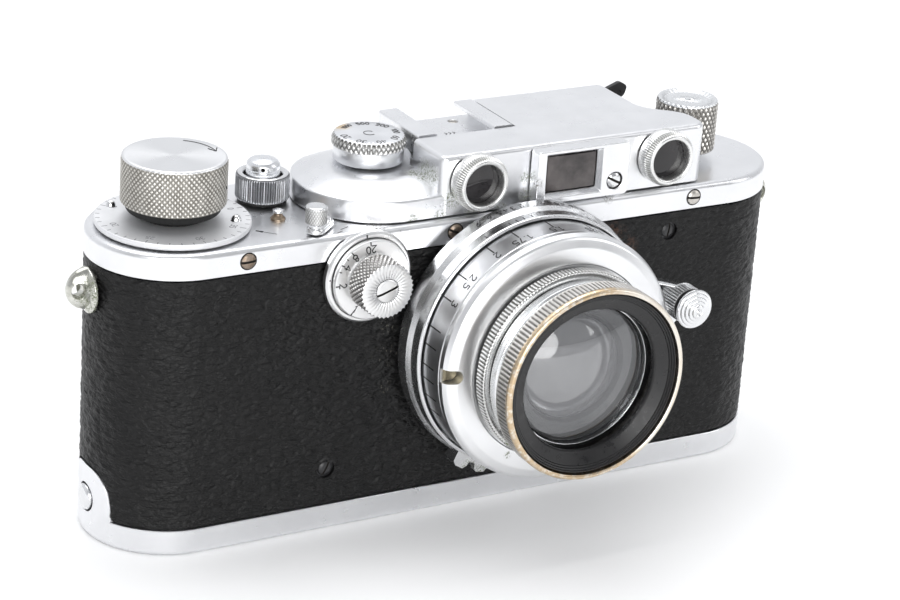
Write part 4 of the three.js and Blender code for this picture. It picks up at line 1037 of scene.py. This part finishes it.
# ----------------------------------------------------------- winding and count
def make_knob():
    n, pitch = 62, 1.0
    prof = [(0, 67.28), (3.0, 67.3), (6.5, 67.34), (8.0, 67.38), (8.4, 67.38), (8.62, 67.33), (8.78, 67.2), (8.88, 67.02)]
    prof += dense((9.0, 66.85), (9.0, 59.55), pitch / 8) + [(8.95, 59.4), (8.8, 59.25), (8.5, 59.2), (8.1, 59.2), (8.0, 59.1), (8.0, 58.05), (7.85, 57.85), (5.6, 57.7), (5.6, 56.7), (5.5, 56.6), (2.5, 56.6), (2.5, 62.0), (0, 62.0)]
    # index 2 makes the hub under the knob dull black: painted shade beneath the knob
    mats = lambda k: 1 if 59.22 < prof[k][1] < 67.1 and prof[k][0] > 8.6 else 2 if prof[k][1] <= 59.21 and prof[k][0] < 8.6 else 0
    o = raised([lathe("z", KNOB, prof, n * 6, diamond(n, pitch, 0.26, 59.3, 67.05, 0.15), mats)])
    op(o, [rod((KNOB[0] + 6.2, -4.3, 62.4), (KNOB[0] + 9.2, -6.3, 62.4), 0.5, 20, 2)])
    piece(o, "winding_knob", [M_KNOB, K_WIND, M_DULL_BLACK], "advance_knob", sharp=60, weighted=True)
    ink = Ink()
    to = lambda x, y: (Vector((KNOB[0] + x, KNOB[1] + y, 67.37)), Vector((0, 0, 1)))
    r0 = 7.2
    pts = [(r0 * math.cos(rad(a)), r0 * math.sin(rad(a))) for a in range(54, -10, -4)]
    ink.line(pts, 0.17, to, 0.03)
    e = Vector(pts[-1])
    d = (e - Vector(pts[-2])).normalized()
    for s in (-1, 1):
        q = d.copy()
        q.rotate(Matrix.Rotation(rad(180 - 28 * s), 2))
        ink.line([tuple(e + d * 0.15), tuple(e + q * 1.7)], 0.19, to, 0.03)
    piece(ink.parts(), "knob_arrow", M_INK, body="winding", weighted=False)


make_knob()

dial = fil([(2.9, 55.3), (13.1, 55.3), (13.25, 55.5), (13.25, 55.95), (13.2, 56.22), (13.05, 56.3), (6.3, 56.3), (6.2, 56.25), (2.9, 56.25)], 0.08, 3)
pins = [lathe("z", (KNOB[0] + sx * 9.2, sy * 5.2), [(0, 57.3), (0.35, 57.24), (0.62, 57.05), (0.8, 56.75), (0.85, 56.4), (0.95, 56.3), (0.95, 56.1), (0, 56.1)], 32, mat=1) for sx, sy in ((-0.83, 1.6), (1, -1))]
piece([lathe("z", KNOB, dial, 180)] + pins, "count_disc", [M_COUNT, M_PLAIN], "counter_dial", sharp=40)
ink = Ink()
for i in range(40):
    t = TAU * i / 40
    w = 0.75 if i % 5 else 1.1
    ink.line([(0, -w), (0, 0)], 0.15, on_disc("z", KNOB, 56.3, (0, 0, 1), 13.0, t), 0.02)
    if i % 5 == 0:
        ink.text(str(i), 1.05, 0.13, on_disc("z", KNOB, 56.3, (0, 0, 1), 10.7, t, -1, 1), 0.02)
piece(ink.parts(), "count_marks", M_FAINT, body="counter", weighted=False)

# release button in its ribbed collar
prof = [(3.3, 55.3), (4.3, 55.3), (4.32, 55.75), (4.62, 55.85)] + dense((4.7, 56.0), (4.7, 59.5), 0.25) + [(4.68, 59.75), (4.58, 60.0), (4.4, 60.2), (4.15, 60.3), (3.75, 60.28), (3.5, 60.15), (3.38, 59.9), (3.32, 59.5)]
piece([lathe("z", RELEASE, prof, 60 * 6, ribs(64, 0.22, 55.95, 59.9, 0.12, 0.8), lambda k: 1 if prof[k][1] < 55.8 or k > len(prof) - 3 else 2 if prof[k][1] > 60.1 else 0)], "button_collar", [K_COLLAR, M_DULL_BLACK, M_PLAIN], "release_collar", sharp=50)
prof = fil([(0, 52.7), (1.4, 52.7), (1.4, 58.2), (2.95, 58.2), (2.95, 60.5, 0.15), (2.6, 60.65, 0.1), (2.6, 60.9, 0.1), (2.95, 61.05, 0.15), (2.9, 61.9, 0.6), (2.4, 62.5, 0.8), (1.2, 62.85, 0.8), (0, 62.9)], 0.1, 5, False)
o = raised([lathe("z", RELEASE, prof, 96)])
to_cam = Vector((-0.515, -0.857, 0))
side = Vector((-0.45, -0.89, 0))
op(o, [rod(Vector((*RELEASE, 61.5)) + side * 1.0, Vector((*RELEASE, 61.5)) + side * 4.0, 0.36, 24, 1)])
piece(o, "button", [M_BUTTON, M_RECESS_SHADE], "release_button", sharp=45)


def make_lever():
    a = math.atan2(PIN[1] - LEVER[1], PIN[0] - LEVER[0])
    out = [(LEVER[0] + 1.9 * math.cos(a + PI / 2 + PI * i / 16), LEVER[1] + 1.9 * math.sin(a + PI / 2 + PI * i / 16)) for i in range(17)]
    out += [(PIN[0] + 1.55 * math.cos(a + 1.5 * PI + PI * i / 16), PIN[1] + 1.55 * math.sin(a + 1.5 * PI + PI * i / 16)) for i in range(17)]
    rings = [[(x, y, z) for x, y in inset(out, d)] for d, z in ((0.1, 55.3), (0, 55.4), (0, 55.95), (0.12, 56.2), (0.35, 56.3))]
    arm = loft(rings)
    o = raised([lathe("z", LEVER, fil([(0, 53.0), (0.9, 53.0), (0.9, 56.1), (1.35, 56.2), (1.35, 56.8, 0.2), (0, 57.0)], 0.06, 2, False), 40)])
    op(o, [box(LEVER[0] - 2, LEVER[0] + 2, LEVER[1] - 0.14, LEVER[1] + 0.14, 56.65, 58)])
    sc = ([tuple(v.co) for v in o.data.vertices], [tuple(p.vertices) for p in o.data.polygons], [0] * len(o.data.polygons))
    bpy.data.objects.remove(o)
    prof = [(0, 56.0), (1.25, 56.1), (1.3, 56.7), (1.5, 57.0), (1.82, 57.15)] + dense((1.9, 57.3), (1.9, 59.6), 0.2) + [(1.86, 59.85), (1.7, 60.05), (1.45, 60.1), (0, 60.08)]
    pin = lathe("z", PIN, prof, 22 * 6, diamond(24, 0.8, 0.12, 57.15, 59.8, 0.15), lambda k: 1 if 57.1 < prof[k][1] < 59.7 else 0)
    piece([arm, sc, pin], "rewind_switch", [M_PLAIN, K_PIN], "rewind_lever", sharp=45)


make_lever()

# speed dial
prof = [(0, 65.98), (4.0, 66.0), (5.95, 66.0), (6.1, 65.95)] + dense((6.2, 65.88), (6.58, 65.3), 0.16) + dense((6.6, 65.15), (6.6, 64.35), 0.16) + [(6.5, 64.15), (6.3, 64.05), (6.15, 64.0), (6.2, 63.9), (6.2, 61.65), (6.1, 61.5), (1.7, 61.5), (1.7, 64.6), (0, 64.6)]
piece([lathe("z", DRUM, prof, 48 * 6, diamond(44, 1.55, 0.30, 64.2, 66.0, 0.12), lambda k: 1 if 64.1 < prof[k][1] < 65.9 else 0)], "speed_dial_top", [M_SPEED, K_DIAL], "speed_dial", sharp=60)
ink = Ink()
for k, s in enumerate(("1000", "500", "200", "100", "60", "40", "30", "20")):
    t = rad(118 - 42 * k)
    ink.text(s, {2: 1.25, 3: 1.05, 4: 0.85}[len(s)], 0.17, on_disc("z", DRUM, 66.0, (0, 0, 1), 4.85, t, -1, 1), 0.025)
ink.line(arc(0, 0, 1.0, 1.0, 30, 300, 14), 0.13, on_plane((DRUM[0], DRUM[1], 66.0), (1, 0, 0), (0, 0, 1)), 0.025)
piece(ink.parts(), "speed_dial_numerals", M_INK, body="dial", weighted=False)
piece([lathe("z", DRUM, fil([(1.7, 56.5), (2.7, 56.5), (2.7, 61.2), (1.7, 61.2)], 0.1, 2), 64)], "dial_sleeve", M_STEEL, "speed_dial_sleeve")

# rewind knob
prof = [(0, 65.95), (0.7, 65.92), (1.0, 65.75), (1.4, 65.62), (3.9, 65.6), (4.5, 65.72), (4.9, 65.98), (5.15, 66.1), (5.4, 66.05), (5.58, 65.85)] + dense((5.7, 65.65), (5.7, 57.1), 0.2)
prof += [(5.55, 56.8), (5.3, 56.6), (3.5, 56.6), (3.4, 56.5), (3.4, 55.65), (3.3, 55.6), (2.1, 55.6), (2.1, 64.6), (0, 64.6)]
piece([lathe("z", REWIND, prof, 34 * 6, diamond(34, 1.65, 0.36, 56.85, 66.0, 0.2), lambda k: 1 if 57.0 < prof[k][1] < 65.75 and prof[k][0] > 5.6 else 0)], "rewind_top", [M_RKNOB, K_REW], "rewind_knob", sharp=60)

# ----------------------------------------------------------- slow speed dial
piece([lathe("y", SLOW, fil([(2.4, -14.9), (8.2, -14.9, 0.1), (8.2, -15.9, 0.25), (7.75, -16.4, 0.2), (7.3, -16.4, 0.1), (7.25, -16.1), (2.4, -16.1)], 0.1, 3), 160)], "slow_dial_ring", M_SLOW, "slow_dial_base", sharp=40)
piece([lathe("y", SLOW, fil([(0, -10.8), (1.9, -10.8), (1.9, -16.35), (7.15, -16.35, 0.05), (7.15, -17.4, 0.15), (6.95, -17.62, 0.1), (5.0, -17.7), (0, -17.7)], 0.06, 3, False), 160)], "slow_dial_disc", M_SLOW, "slow_speed_dial", sharp=40)
prof = [(0, -17.8), (4.5, -17.8), (4.7, -18.0), (4.9, -18.1)] + dense((5.0, -18.25), (5.0, -22.6), 0.16) + [(4.94, -22.74), (4.78, -22.8), (2.35, -22.8), (2.3, -22.7), (2.3, -21.6), (0, -21.6)]
piece([lathe("y", SLOW, prof, 36 * 6, diamond(36, 1.2, 0.30, -22.9, -18.1, 0.12), lambda k: 1 if -22.65 < prof[k][1] < -18.05 and prof[k][0] > 4.8 else 0)], "slow_dial_knob", [M_SLOW, K_SLOW], "slow_speed_knob", sharp=60)
screw("slow_dial_screw", "slow_speed_screw", SLOW, 2.05, -21.9, -23.0, 19, M_SLOW, 1.0, 0.2, 0.42, 0.7, dome=0.12)
ink = Ink()
for s, a in (("20", 97), ("8", 128), ("4", 150), ("2", 182), ("1", 236)):
    t = rad(a)
    ink.text(s, 1.3, 0.21, on_disc("y", SLOW, -17.68, (0, -1, 0), 5.72, t, 1, -1), 0.03)
    ink.line([(0, 0), (0, 0.7)], 0.2, on_disc("y", SLOW, -17.62, (0, -1, 0), 6.35, t), 0.04, 0.1)
for a in (139, 160):
    ink.line([(0, 0.1), (0, 0.6)], 0.17, on_disc("y", SLOW, -17.62, (0, -1, 0), 6.35, rad(a)), 0.04, 0.1)
piece(ink.parts(), "slow_dial_numerals", M_INK, body="slow_dial", weighted=False)
ink = Ink()
ink.line([(0, -0.35), (0, 0.3)], 0.24, on_disc("y", SLOW, -16.4, (0, -1, 0), 7.65, rad(97)), 0.03)
ink.line([(-0.12, 0), (0.12, 0)], 0.26, on_disc("y", SLOW, -16.4, (0, -1, 0), 7.6, rad(176)), 0.03)
piece(ink.parts(), "slow_dial_index", M_INK, body="root", weighted=False)


# ------------------------------------------------------------------ strap lugs
def make_lug(side, tag):
    foot = fil([(0, side * 62.6), (1.0, side * 62.6), (1.0, side * 66.6), (4.0, side * 66.6), (4.0, side * 67.1, 0.2), (3.0, side * 67.6, 0.3), (0, side * 67.6)], 0.1, 3, False)
    o = raised([lathe("x", (0, 45.3), foot, 64)])
    nu, nv, v, f = 40, 24, [], []
    rings = []
    for j in range(1, nv):
        p = PI * j / nv
        rings.append([(side * 66.9 + 3.9 * math.sin(p) * math.cos(TAU * i / nu), 1.8 * math.sin(p) * math.sin(TAU * i / nu), 45.7 + 3.8 * math.cos(p)) for i in range(nu)])
    op(o, [loft(rings)], "UNION")
    op(o, [lathe("y", (side * 68.9, 45.7), [(0, -3), (2.4, -3), (1.45, -1.3), (1.1, -0.75), (1.1, 0.75), (1.45, 1.3), (2.4, 3), (0, 3)], 48)])
    piece(o, "lug_" + tag, M_LUG, "strap_lug_" + tag, sharp=50)


make_lug(-1, "left")
make_lug(1, "right")
piece([lathe("x", (0, 7.0), fil([(0, -63.6), (0.95, -63.6), (0.95, -65.6), (2.3, -65.6), (2.3, -66.7, 0.3), (1.7, -67.05, 0.5), (0, -67.1)], 0.1, 4, False), 56)], "hinge_stud", M_PLAIN, "hook_stud", sharp=45)


# ------------------------------------------------------------------------ lens
piece([lathe("y", L, fil([(14.9, -10.0), (15.8, -10.0), (15.8, -14.9), (21.8, -14.9), (21.8, -16.0, 0.2), (21.5, -16.2), (14.9, -16.2)], 0.1, 3), 160)], "mount_flange", M_MOUNT, "body_flange", sharp=40)


def make_mount():
    prof = fil([(14.9, -16.5), (23.7, -16.5, 0.1), (23.85, -16.7, 0.1), (23.85, -19.3, 0.3), (23.3, -20.4, 0.3), (23.3, -22.4, 0.1), (23.15, -22.7, 0.2), (22.7, -22.8, 0.1), (22.7, -18.0), (14.9, -18.0)], 0.1, 3)
    o = raised([lathe("y", L, prof, 220)])
    out = []
    for a, r in ((-121.5, 23.3), (-121.0, 25.5), (-119.2, 26.1), (-115.6, 26.2), (-114.2, 25.6), (-113.6, 24.7), (-110.8, 24.7), (-110.2, 25.6), (-108.8, 26.2), (-105.4, 26.0), (-104.2, 25.2), (-103.4, 23.3)):
        out.append((L[0] + r * math.cos(rad(a)), L[1] + r * math.sin(rad(a))))
    out += [(L[0] + 22.95 * math.cos(rad(a)), L[1] + 22.95 * math.sin(rad(a))) for a in (-104, -107, -110, -113, -116, -119, -121)]
    catch = fil(out, 0.3, 3)
    op(o, [prism(catch, "y", -20.0, -16.9)], "UNION")
    piece(o, "lens_mount", M_MOUNT, "lens_mount_base", sharp=40, bevel=0.0)
    ink = Ink()
    idx = 90.0
    ink.line([(0, -1.6), (0, 0.1)], 0.18, on_ring("y", L, 23.3, rad(idx), -21.0, 1, -1))
    for a in (5, 9, 12.5, 16, 20, 24, 28):
        for s in (-1, 1):
            ink.line([(0, 0.3), (0, 1.3)], 0.16, on_ring("y", L, 23.3, rad(idx + s * a), -21.0, 1, -1))
    for a, s in ((5, "2"), (9, "3"), (14, "4.5"), (20, "6"), (26, "9")):
        for q in (-1, 1):
            ink.text(s, 1.15, 0.15, on_ring("y", L, 23.86, rad(idx + q * a), -18.1, 1, -1))
    piece(ink.parts(), "depth_marks", M_INK, body="root", weighted=False)


make_mount()
piece([lathe("y", L, fil([(13.7, -27.0), (14.6, -27.0), (14.6, -8.5), (13.7, -8.5)], 0.1, 2), 128)], "helicoid", M_BRASS, "helicoid_ring")
piece([lathe("y", L, fil([(20.6, -20.4), (22.3, -20.4), (22.4, -20.6), (22.4, -28.1), (22.3, -28.3), (20.6, -28.3)], 0.08, 3), 220)], "distance_scale", M_DIST, "distance_ring", sharp=40)
SCALE = [("1.5", 90.2), ("1.75", 107.6), ("2", 120.9), ("2.5", 137.7), ("3", 149.3), ("4", 163.4), ("5", 171.6), ("6", 180.9), ("8", 187.5), ("10", 196.2), ("20", 204.4), ("1.25", 70.0), ("1", 44.0)]
ink = Ink()
for s, a in SCALE:
    ink.line([(0, 0), (0, 0.9), (0, 1.8), (0, 2.7 if a < 160 else 3.6)], 0.24, on_ring("y", L, 22.4, rad(a), -22.95, 1, -1), 0.03)
    if a < 160:
        ink.text(s, 1.55, 0.22, on_ring("y", L, 22.4, rad(a), -26.75, 1, -1), 0.03)
piece(ink.parts(), "distance_numerals", M_INK, body="focus", weighted=False)


def make_flange():
    prof = fil([(13.7, -28.6), (22.45, -28.6, 0.1), (22.66, -28.9, 0.1), (22.66, -29.9, 0.6), (22.1, -30.9, 1.2), (20.6, -31.45, 2.0), (18.2, -31.7, 0.3), (17.7, -31.72, 0.1), (17.6, -31.5), (13.7, -31.5)], 0.1, 6)
    o = raised([lathe("y", L, prof, 240)])
    c = (L[0] - 20.7, L[1])
    cap = [(c[0] + 1.25 * math.cos(a), c[1] + 1.25 * math.sin(a)) for a in (-PI / 2 + PI * i / 16 for i in range(17))] + [(L[0] - 24, L[1] + 1.25), (L[0] - 24, L[1] - 1.25)]
    op(o, [prism(cap, "y", -33, -29.2)])
    piece(o, "lens_flange", M_FLANGE, "focus_flange", sharp=38)
    cap2 = inset(cap[:17] + [(L[0] - 22.2, L[1] + 1.25), (L[0] - 22.2, L[1] - 1.25)], 0.1)
    piece([loft([[(x, y, z) for x, z in inset(cap2, d)] for d, y in ((0, -29.1), (0, -29.5), (0.25, -29.75))])], "flange_notch_stop", M_STOP, body="focus")


make_flange()
prof = [(13.7, -32.0), (16.9, -32.0), (17.2, -32.1)] + dense((17.4, -32.35), (17.4, -33.9), 0.2) + [(17.3, -34.2), (17.05, -34.38), (16.8, -34.4), (13.7, -34.4)]
piece([lathe("y", L, prof, 160 * 6, ribs(160, 0.20, -34.3, -32.15, 0.12), lambda k: 1 if 2 <= k < len(prof) - 4 else 0)], "bayonet", [M_BAYO, K_BAYO], "bayonet_ring", sharp=50)


def make_lever_arm():
    a = math.atan2(FKNOB[1] - L[1], FKNOB[0] - L[0])
    out = [(L[0] + 22.75 * math.cos(a + rad(-15 + 30 * i / 12)), L[1] + 22.75 * math.sin(a + rad(-15 + 30 * i / 12))) for i in range(13)]
    out += [(FKNOB[0] + 2.7 * math.cos(a + PI * 0.42 - PI * 0.84 * i / 12), FKNOB[1] + 2.7 * math.sin(a + PI * 0.42 - PI * 0.84 * i / 12)) for i in range(13)]
    out = out[::-1] if sum(out[i - 1][0] * out[i][1] - out[i][0] * out[i - 1][1] for i in range(len(out))) < 0 else out
    rings = [[(x, y, z) for x, z in inset(out, d)] for d, y in ((0.25, -25.2), (0.0, -25.4), (0.0, -27.7), (0.3, -28.1), (0.5, -28.2))]
    prof = [(0, -24.6), (2.2, -24.6), (2.6, -25.0), (2.75, -25.3), (2.75, -27.5), (3.1, -27.75)] + dense((3.3, -28.0), (3.3, -30.3), 0.2) + [(3.2, -30.5), (3.0, -30.6), (2.0, -30.6), (1.9, -30.3), (1.2, -30.3), (1.2, -26.4), (0, -26.4)]
    collar = lathe("y", FKNOB, prof, 38 * 5, ribs(38, 0.34, -30.55, -28.0, 0.12), lambda k: 1 if prof[k][1] < -27.9 and prof[k][0] > 3.15 else 2 if prof[k][1] < -30.2 else 0)
    piece([loft(rings), collar], "focusing_lever", [M_PLAIN, K_FOC, M_DULL_BLACK], "focus_lever", sharp=45)
    prof = [(0, -28.6), (1.0, -28.6), (1.0, -31.75), (3.3, -31.75), (3.6, -32.0), (3.6, -32.3), (3.45, -32.5), (3.1, -32.52), (3.02, -32.75), (2.95, -32.85), (2.5, -32.88), (2.42, -33.1), (2.35, -33.2), (1.9, -33.23), (1.82, -33.45),
            (1.75, -33.53), (1.3, -33.56), (1.22, -33.75), (1.1, -33.85), (0.75, -33.9), (0.62, -33.8), (0.5, -33.85), (0.3, -34.05), (0, -34.1)]
    piece([lathe("y", FKNOB, fil(prof, 0.06, 2, False), 96)], "infinity_lock_cap", M_PLAIN, "infinity_button", sharp=50)


make_lever_arm()

# collapsible tube, head, rings and glass
tube = fil([(12.6, -9.0), (13.4, -9.0), (13.4, -34.7), (15.9, -34.7, 0.1), (16.2, -35.0, 0.15), (16.2, -36.5, 0.2), (15.8, -36.75, 0.1), (15.8, -38.4), (12.6, -38.4)], 0.1, 3)
piece([lathe("y", L, tube, 200)], "tube", M_HEAD, "lens_tube", sharp=40)
prof = [(14.8, -38.75), (16.9, -38.75), (17.2, -38.8), (17.38, -38.95)] + dense((17.44, -39.1), (17.44, -42.45), 0.24) + [(17.4, -42.65), (17.3, -42.85), (17.15, -43.02), (17.0, -43.1), (16.75, -43.1), (16.5, -42.95), (16.5, -39.6), (14.8, -39.6)]
piece([lathe("y", L, prof, 132 * 6, ribs(140, 0.20, -42.2, -39.0, 0.15, 0.9), lambda k: 1 if prof[k][1] < -41.9 and prof[k][0] > 16.4 else 0)], "iris_ring", [K_APER, M_CREAM], "aperture_ring", sharp=55)
prof = fil([(12.95, -39.9), (16.2, -39.9), (16.2, -42.5), (15.95, -42.55), (15.85, -42.25), (15.6, -42.3), (15.5, -42.0), (15.25, -42.05), (15.15, -41.78), (13.2, -40.9), (12.95, -40.6)], 0.06, 3)
piece([lathe("y", L, prof, 200)], "front_black_ring", M_NAME, "name_ring", sharp=40)
bulge = [(12.3 * i / 16, -41.3 + 2.3 * (i / 16) ** 2) for i in range(17)]
back_ = [(12.3 * i / 12, -38.3 + 0.7 * (i / 12) ** 2) for i in range(12, -1, -1)]
piece([lathe("y", L, bulge + back_, 128)], "front_element", M_FRONT, "front_glass", sharp=60)
# inside the tube: a black seat with a strongly curved lens in it
seat = fil([(12.45, -37.35), (12.5, -33.0), (9.4, -33.0), (9.45, -34.7), (9.9, -35.6), (11.9, -36.6)], 0.15, 3)
piece([lathe("y", L, seat, 128)], "inner_cone", M_SEAT, body="barrel")
dome = [(9.35 * i / 20, -37.55 + 17.0 - math.sqrt(17.0 ** 2 - (9.35 * i / 20) ** 2)) for i in range(21)]
piece([lathe("y", L, dome + [(9.35, -33.4), (0, -33.4)], 96)], "inner_lens", M_INNER, body="barrel", sharp=60)


# ------------------------------------------------- carried-over inner pieces
def carry(node, mat, bevel=0.0):
    o = NODES[node]
    o.data.materials.clear()
    o.data.materials.append(mat)
    for p in o.data.polygons:
        p.material_index = 0
    if bevel:
        b = o.modifiers.new("edge", "BEVEL")
        b.width, b.segments, b.limit_method, b.angle_limit = bevel * MM, 2, "ANGLE", rad(40)


for node, mat in (("body_shell", M_ALU), ("inner_chassis", M_STEEL), ("pressure_plate", M_BLACK), ("shutter_curtain", M_DULL_BLACK), ("winding_shaft", M_BRASS), ("takeup_spool", M_BLACK),
                  ("sprocket", M_STEEL), ("shutter_drum", M_BRASS), ("spring_roller", M_BRASS), ("rewind_shaft", M_STEEL), ("rangefinder_arm", M_STEEL), ("rear_cell", M_BLACK)):
    carry(node, mat)

# ----------------------------------------------------------- floor and lights
def make_stage():
    m = Mat("floor_white")
    m.link(m.mix(m.noise(3, 3), (0.90, 0.90, 0.90), (0.93, 0.93, 0.93)), m.b.inputs["Base Color"])
    m.b.inputs["Roughness"].default_value = 0.6
    m.b.inputs["Specular IOR Level"].default_value = 0.2
    v, f, k = [], [], 13
    for i in range(k):
        for j in range(k):
            v.append((-2.4 + 4.8 * i / (k - 1), -2.4 + 4.8 * j / (k - 1), 0.0))
    f = [(i * k + j, (i + 1) * k + j, (i + 1) * k + j + 1, i * k + j + 1) for i in range(k - 1) for j in range(k - 1)]
    me = bpy.data.meshes.new("floor")
    me.from_pydata(v, [], f)
    me.materials.append(m.m)
    o = bpy.data.objects.new("floor", me)
    bpy.context.scene.collection.objects.link(o)
    w = bpy.data.worlds.new("studio")
    bpy.context.scene.world = w
    w.use_nodes = True
    nt = w.node_tree
    bg = nt.nodes["Background"]
    co = nt.nodes.new("ShaderNodeTexCoord")
    sp = nt.nodes.new("ShaderNodeSeparateXYZ")
    nt.links.new(co.outputs["Generated"], sp.inputs[0])
    ramp = nt.nodes.new("ShaderNodeMapRange")
    ramp.inputs["From Min"].default_value, ramp.inputs["From Max"].default_value = -0.9, 0.7
    ramp.inputs["To Min"].default_value, ramp.inputs["To Max"].default_value = 0.36, 0.92
    nt.links.new(sp.outputs[1], ramp.inputs["Value"])
    nt.links.new(ramp.outputs[0], bg.inputs["Strength"])
    bg.inputs["Color"].default_value = (0.955, 0.97, 1.0, 1)

    def area(name, loc, target, sx, sy, power, color=(1, 1, 1)):
        d = bpy.data.lights.new(name, "AREA")
        d.shape, d.size, d.size_y, d.energy, d.color = "RECTANGLE", sx, sy, power, color
        q = bpy.data.objects.new(name, d)
        bpy.context.scene.collection.objects.link(q)
        q.location = loc
        q.rotation_mode = "QUATERNION"
        q.rotation_quaternion = (Vector(target) - Vector(loc)).to_track_quat("-Z", "Y")

    area("softbox_top", (0.0, 0.25, 1.15), (0, 0, 0), 1.2, 0.9, 8.5)
    area("softbox_left", (-0.85, -1.05, 0.62), (0, 0, 0.03), 0.55, 0.6, 4.1)
    d = bpy.data.lights.new("front_disc", "AREA")
    d.shape, d.size, d.energy = "DISK", 0.85, 8.0
    q = bpy.data.objects.new("front_disc", d)
    bpy.context.scene.collection.objects.link(q)
    q.location = (-0.33, -1.18, 0.36)
    q.rotation_mode = "QUATERNION"
    q.rotation_quaternion = (Vector((0, 0, 0.04)) - q.location).to_track_quat("-Z", "Y")
    area("softbox_right", (1.05, -0.7, 0.65), (0, 0, 0.03), 0.5, 0.8, 3.0)


make_stage()
vs = bpy.context.scene.view_settings
vs.view_transform = "Standard"
vs.look = "None"
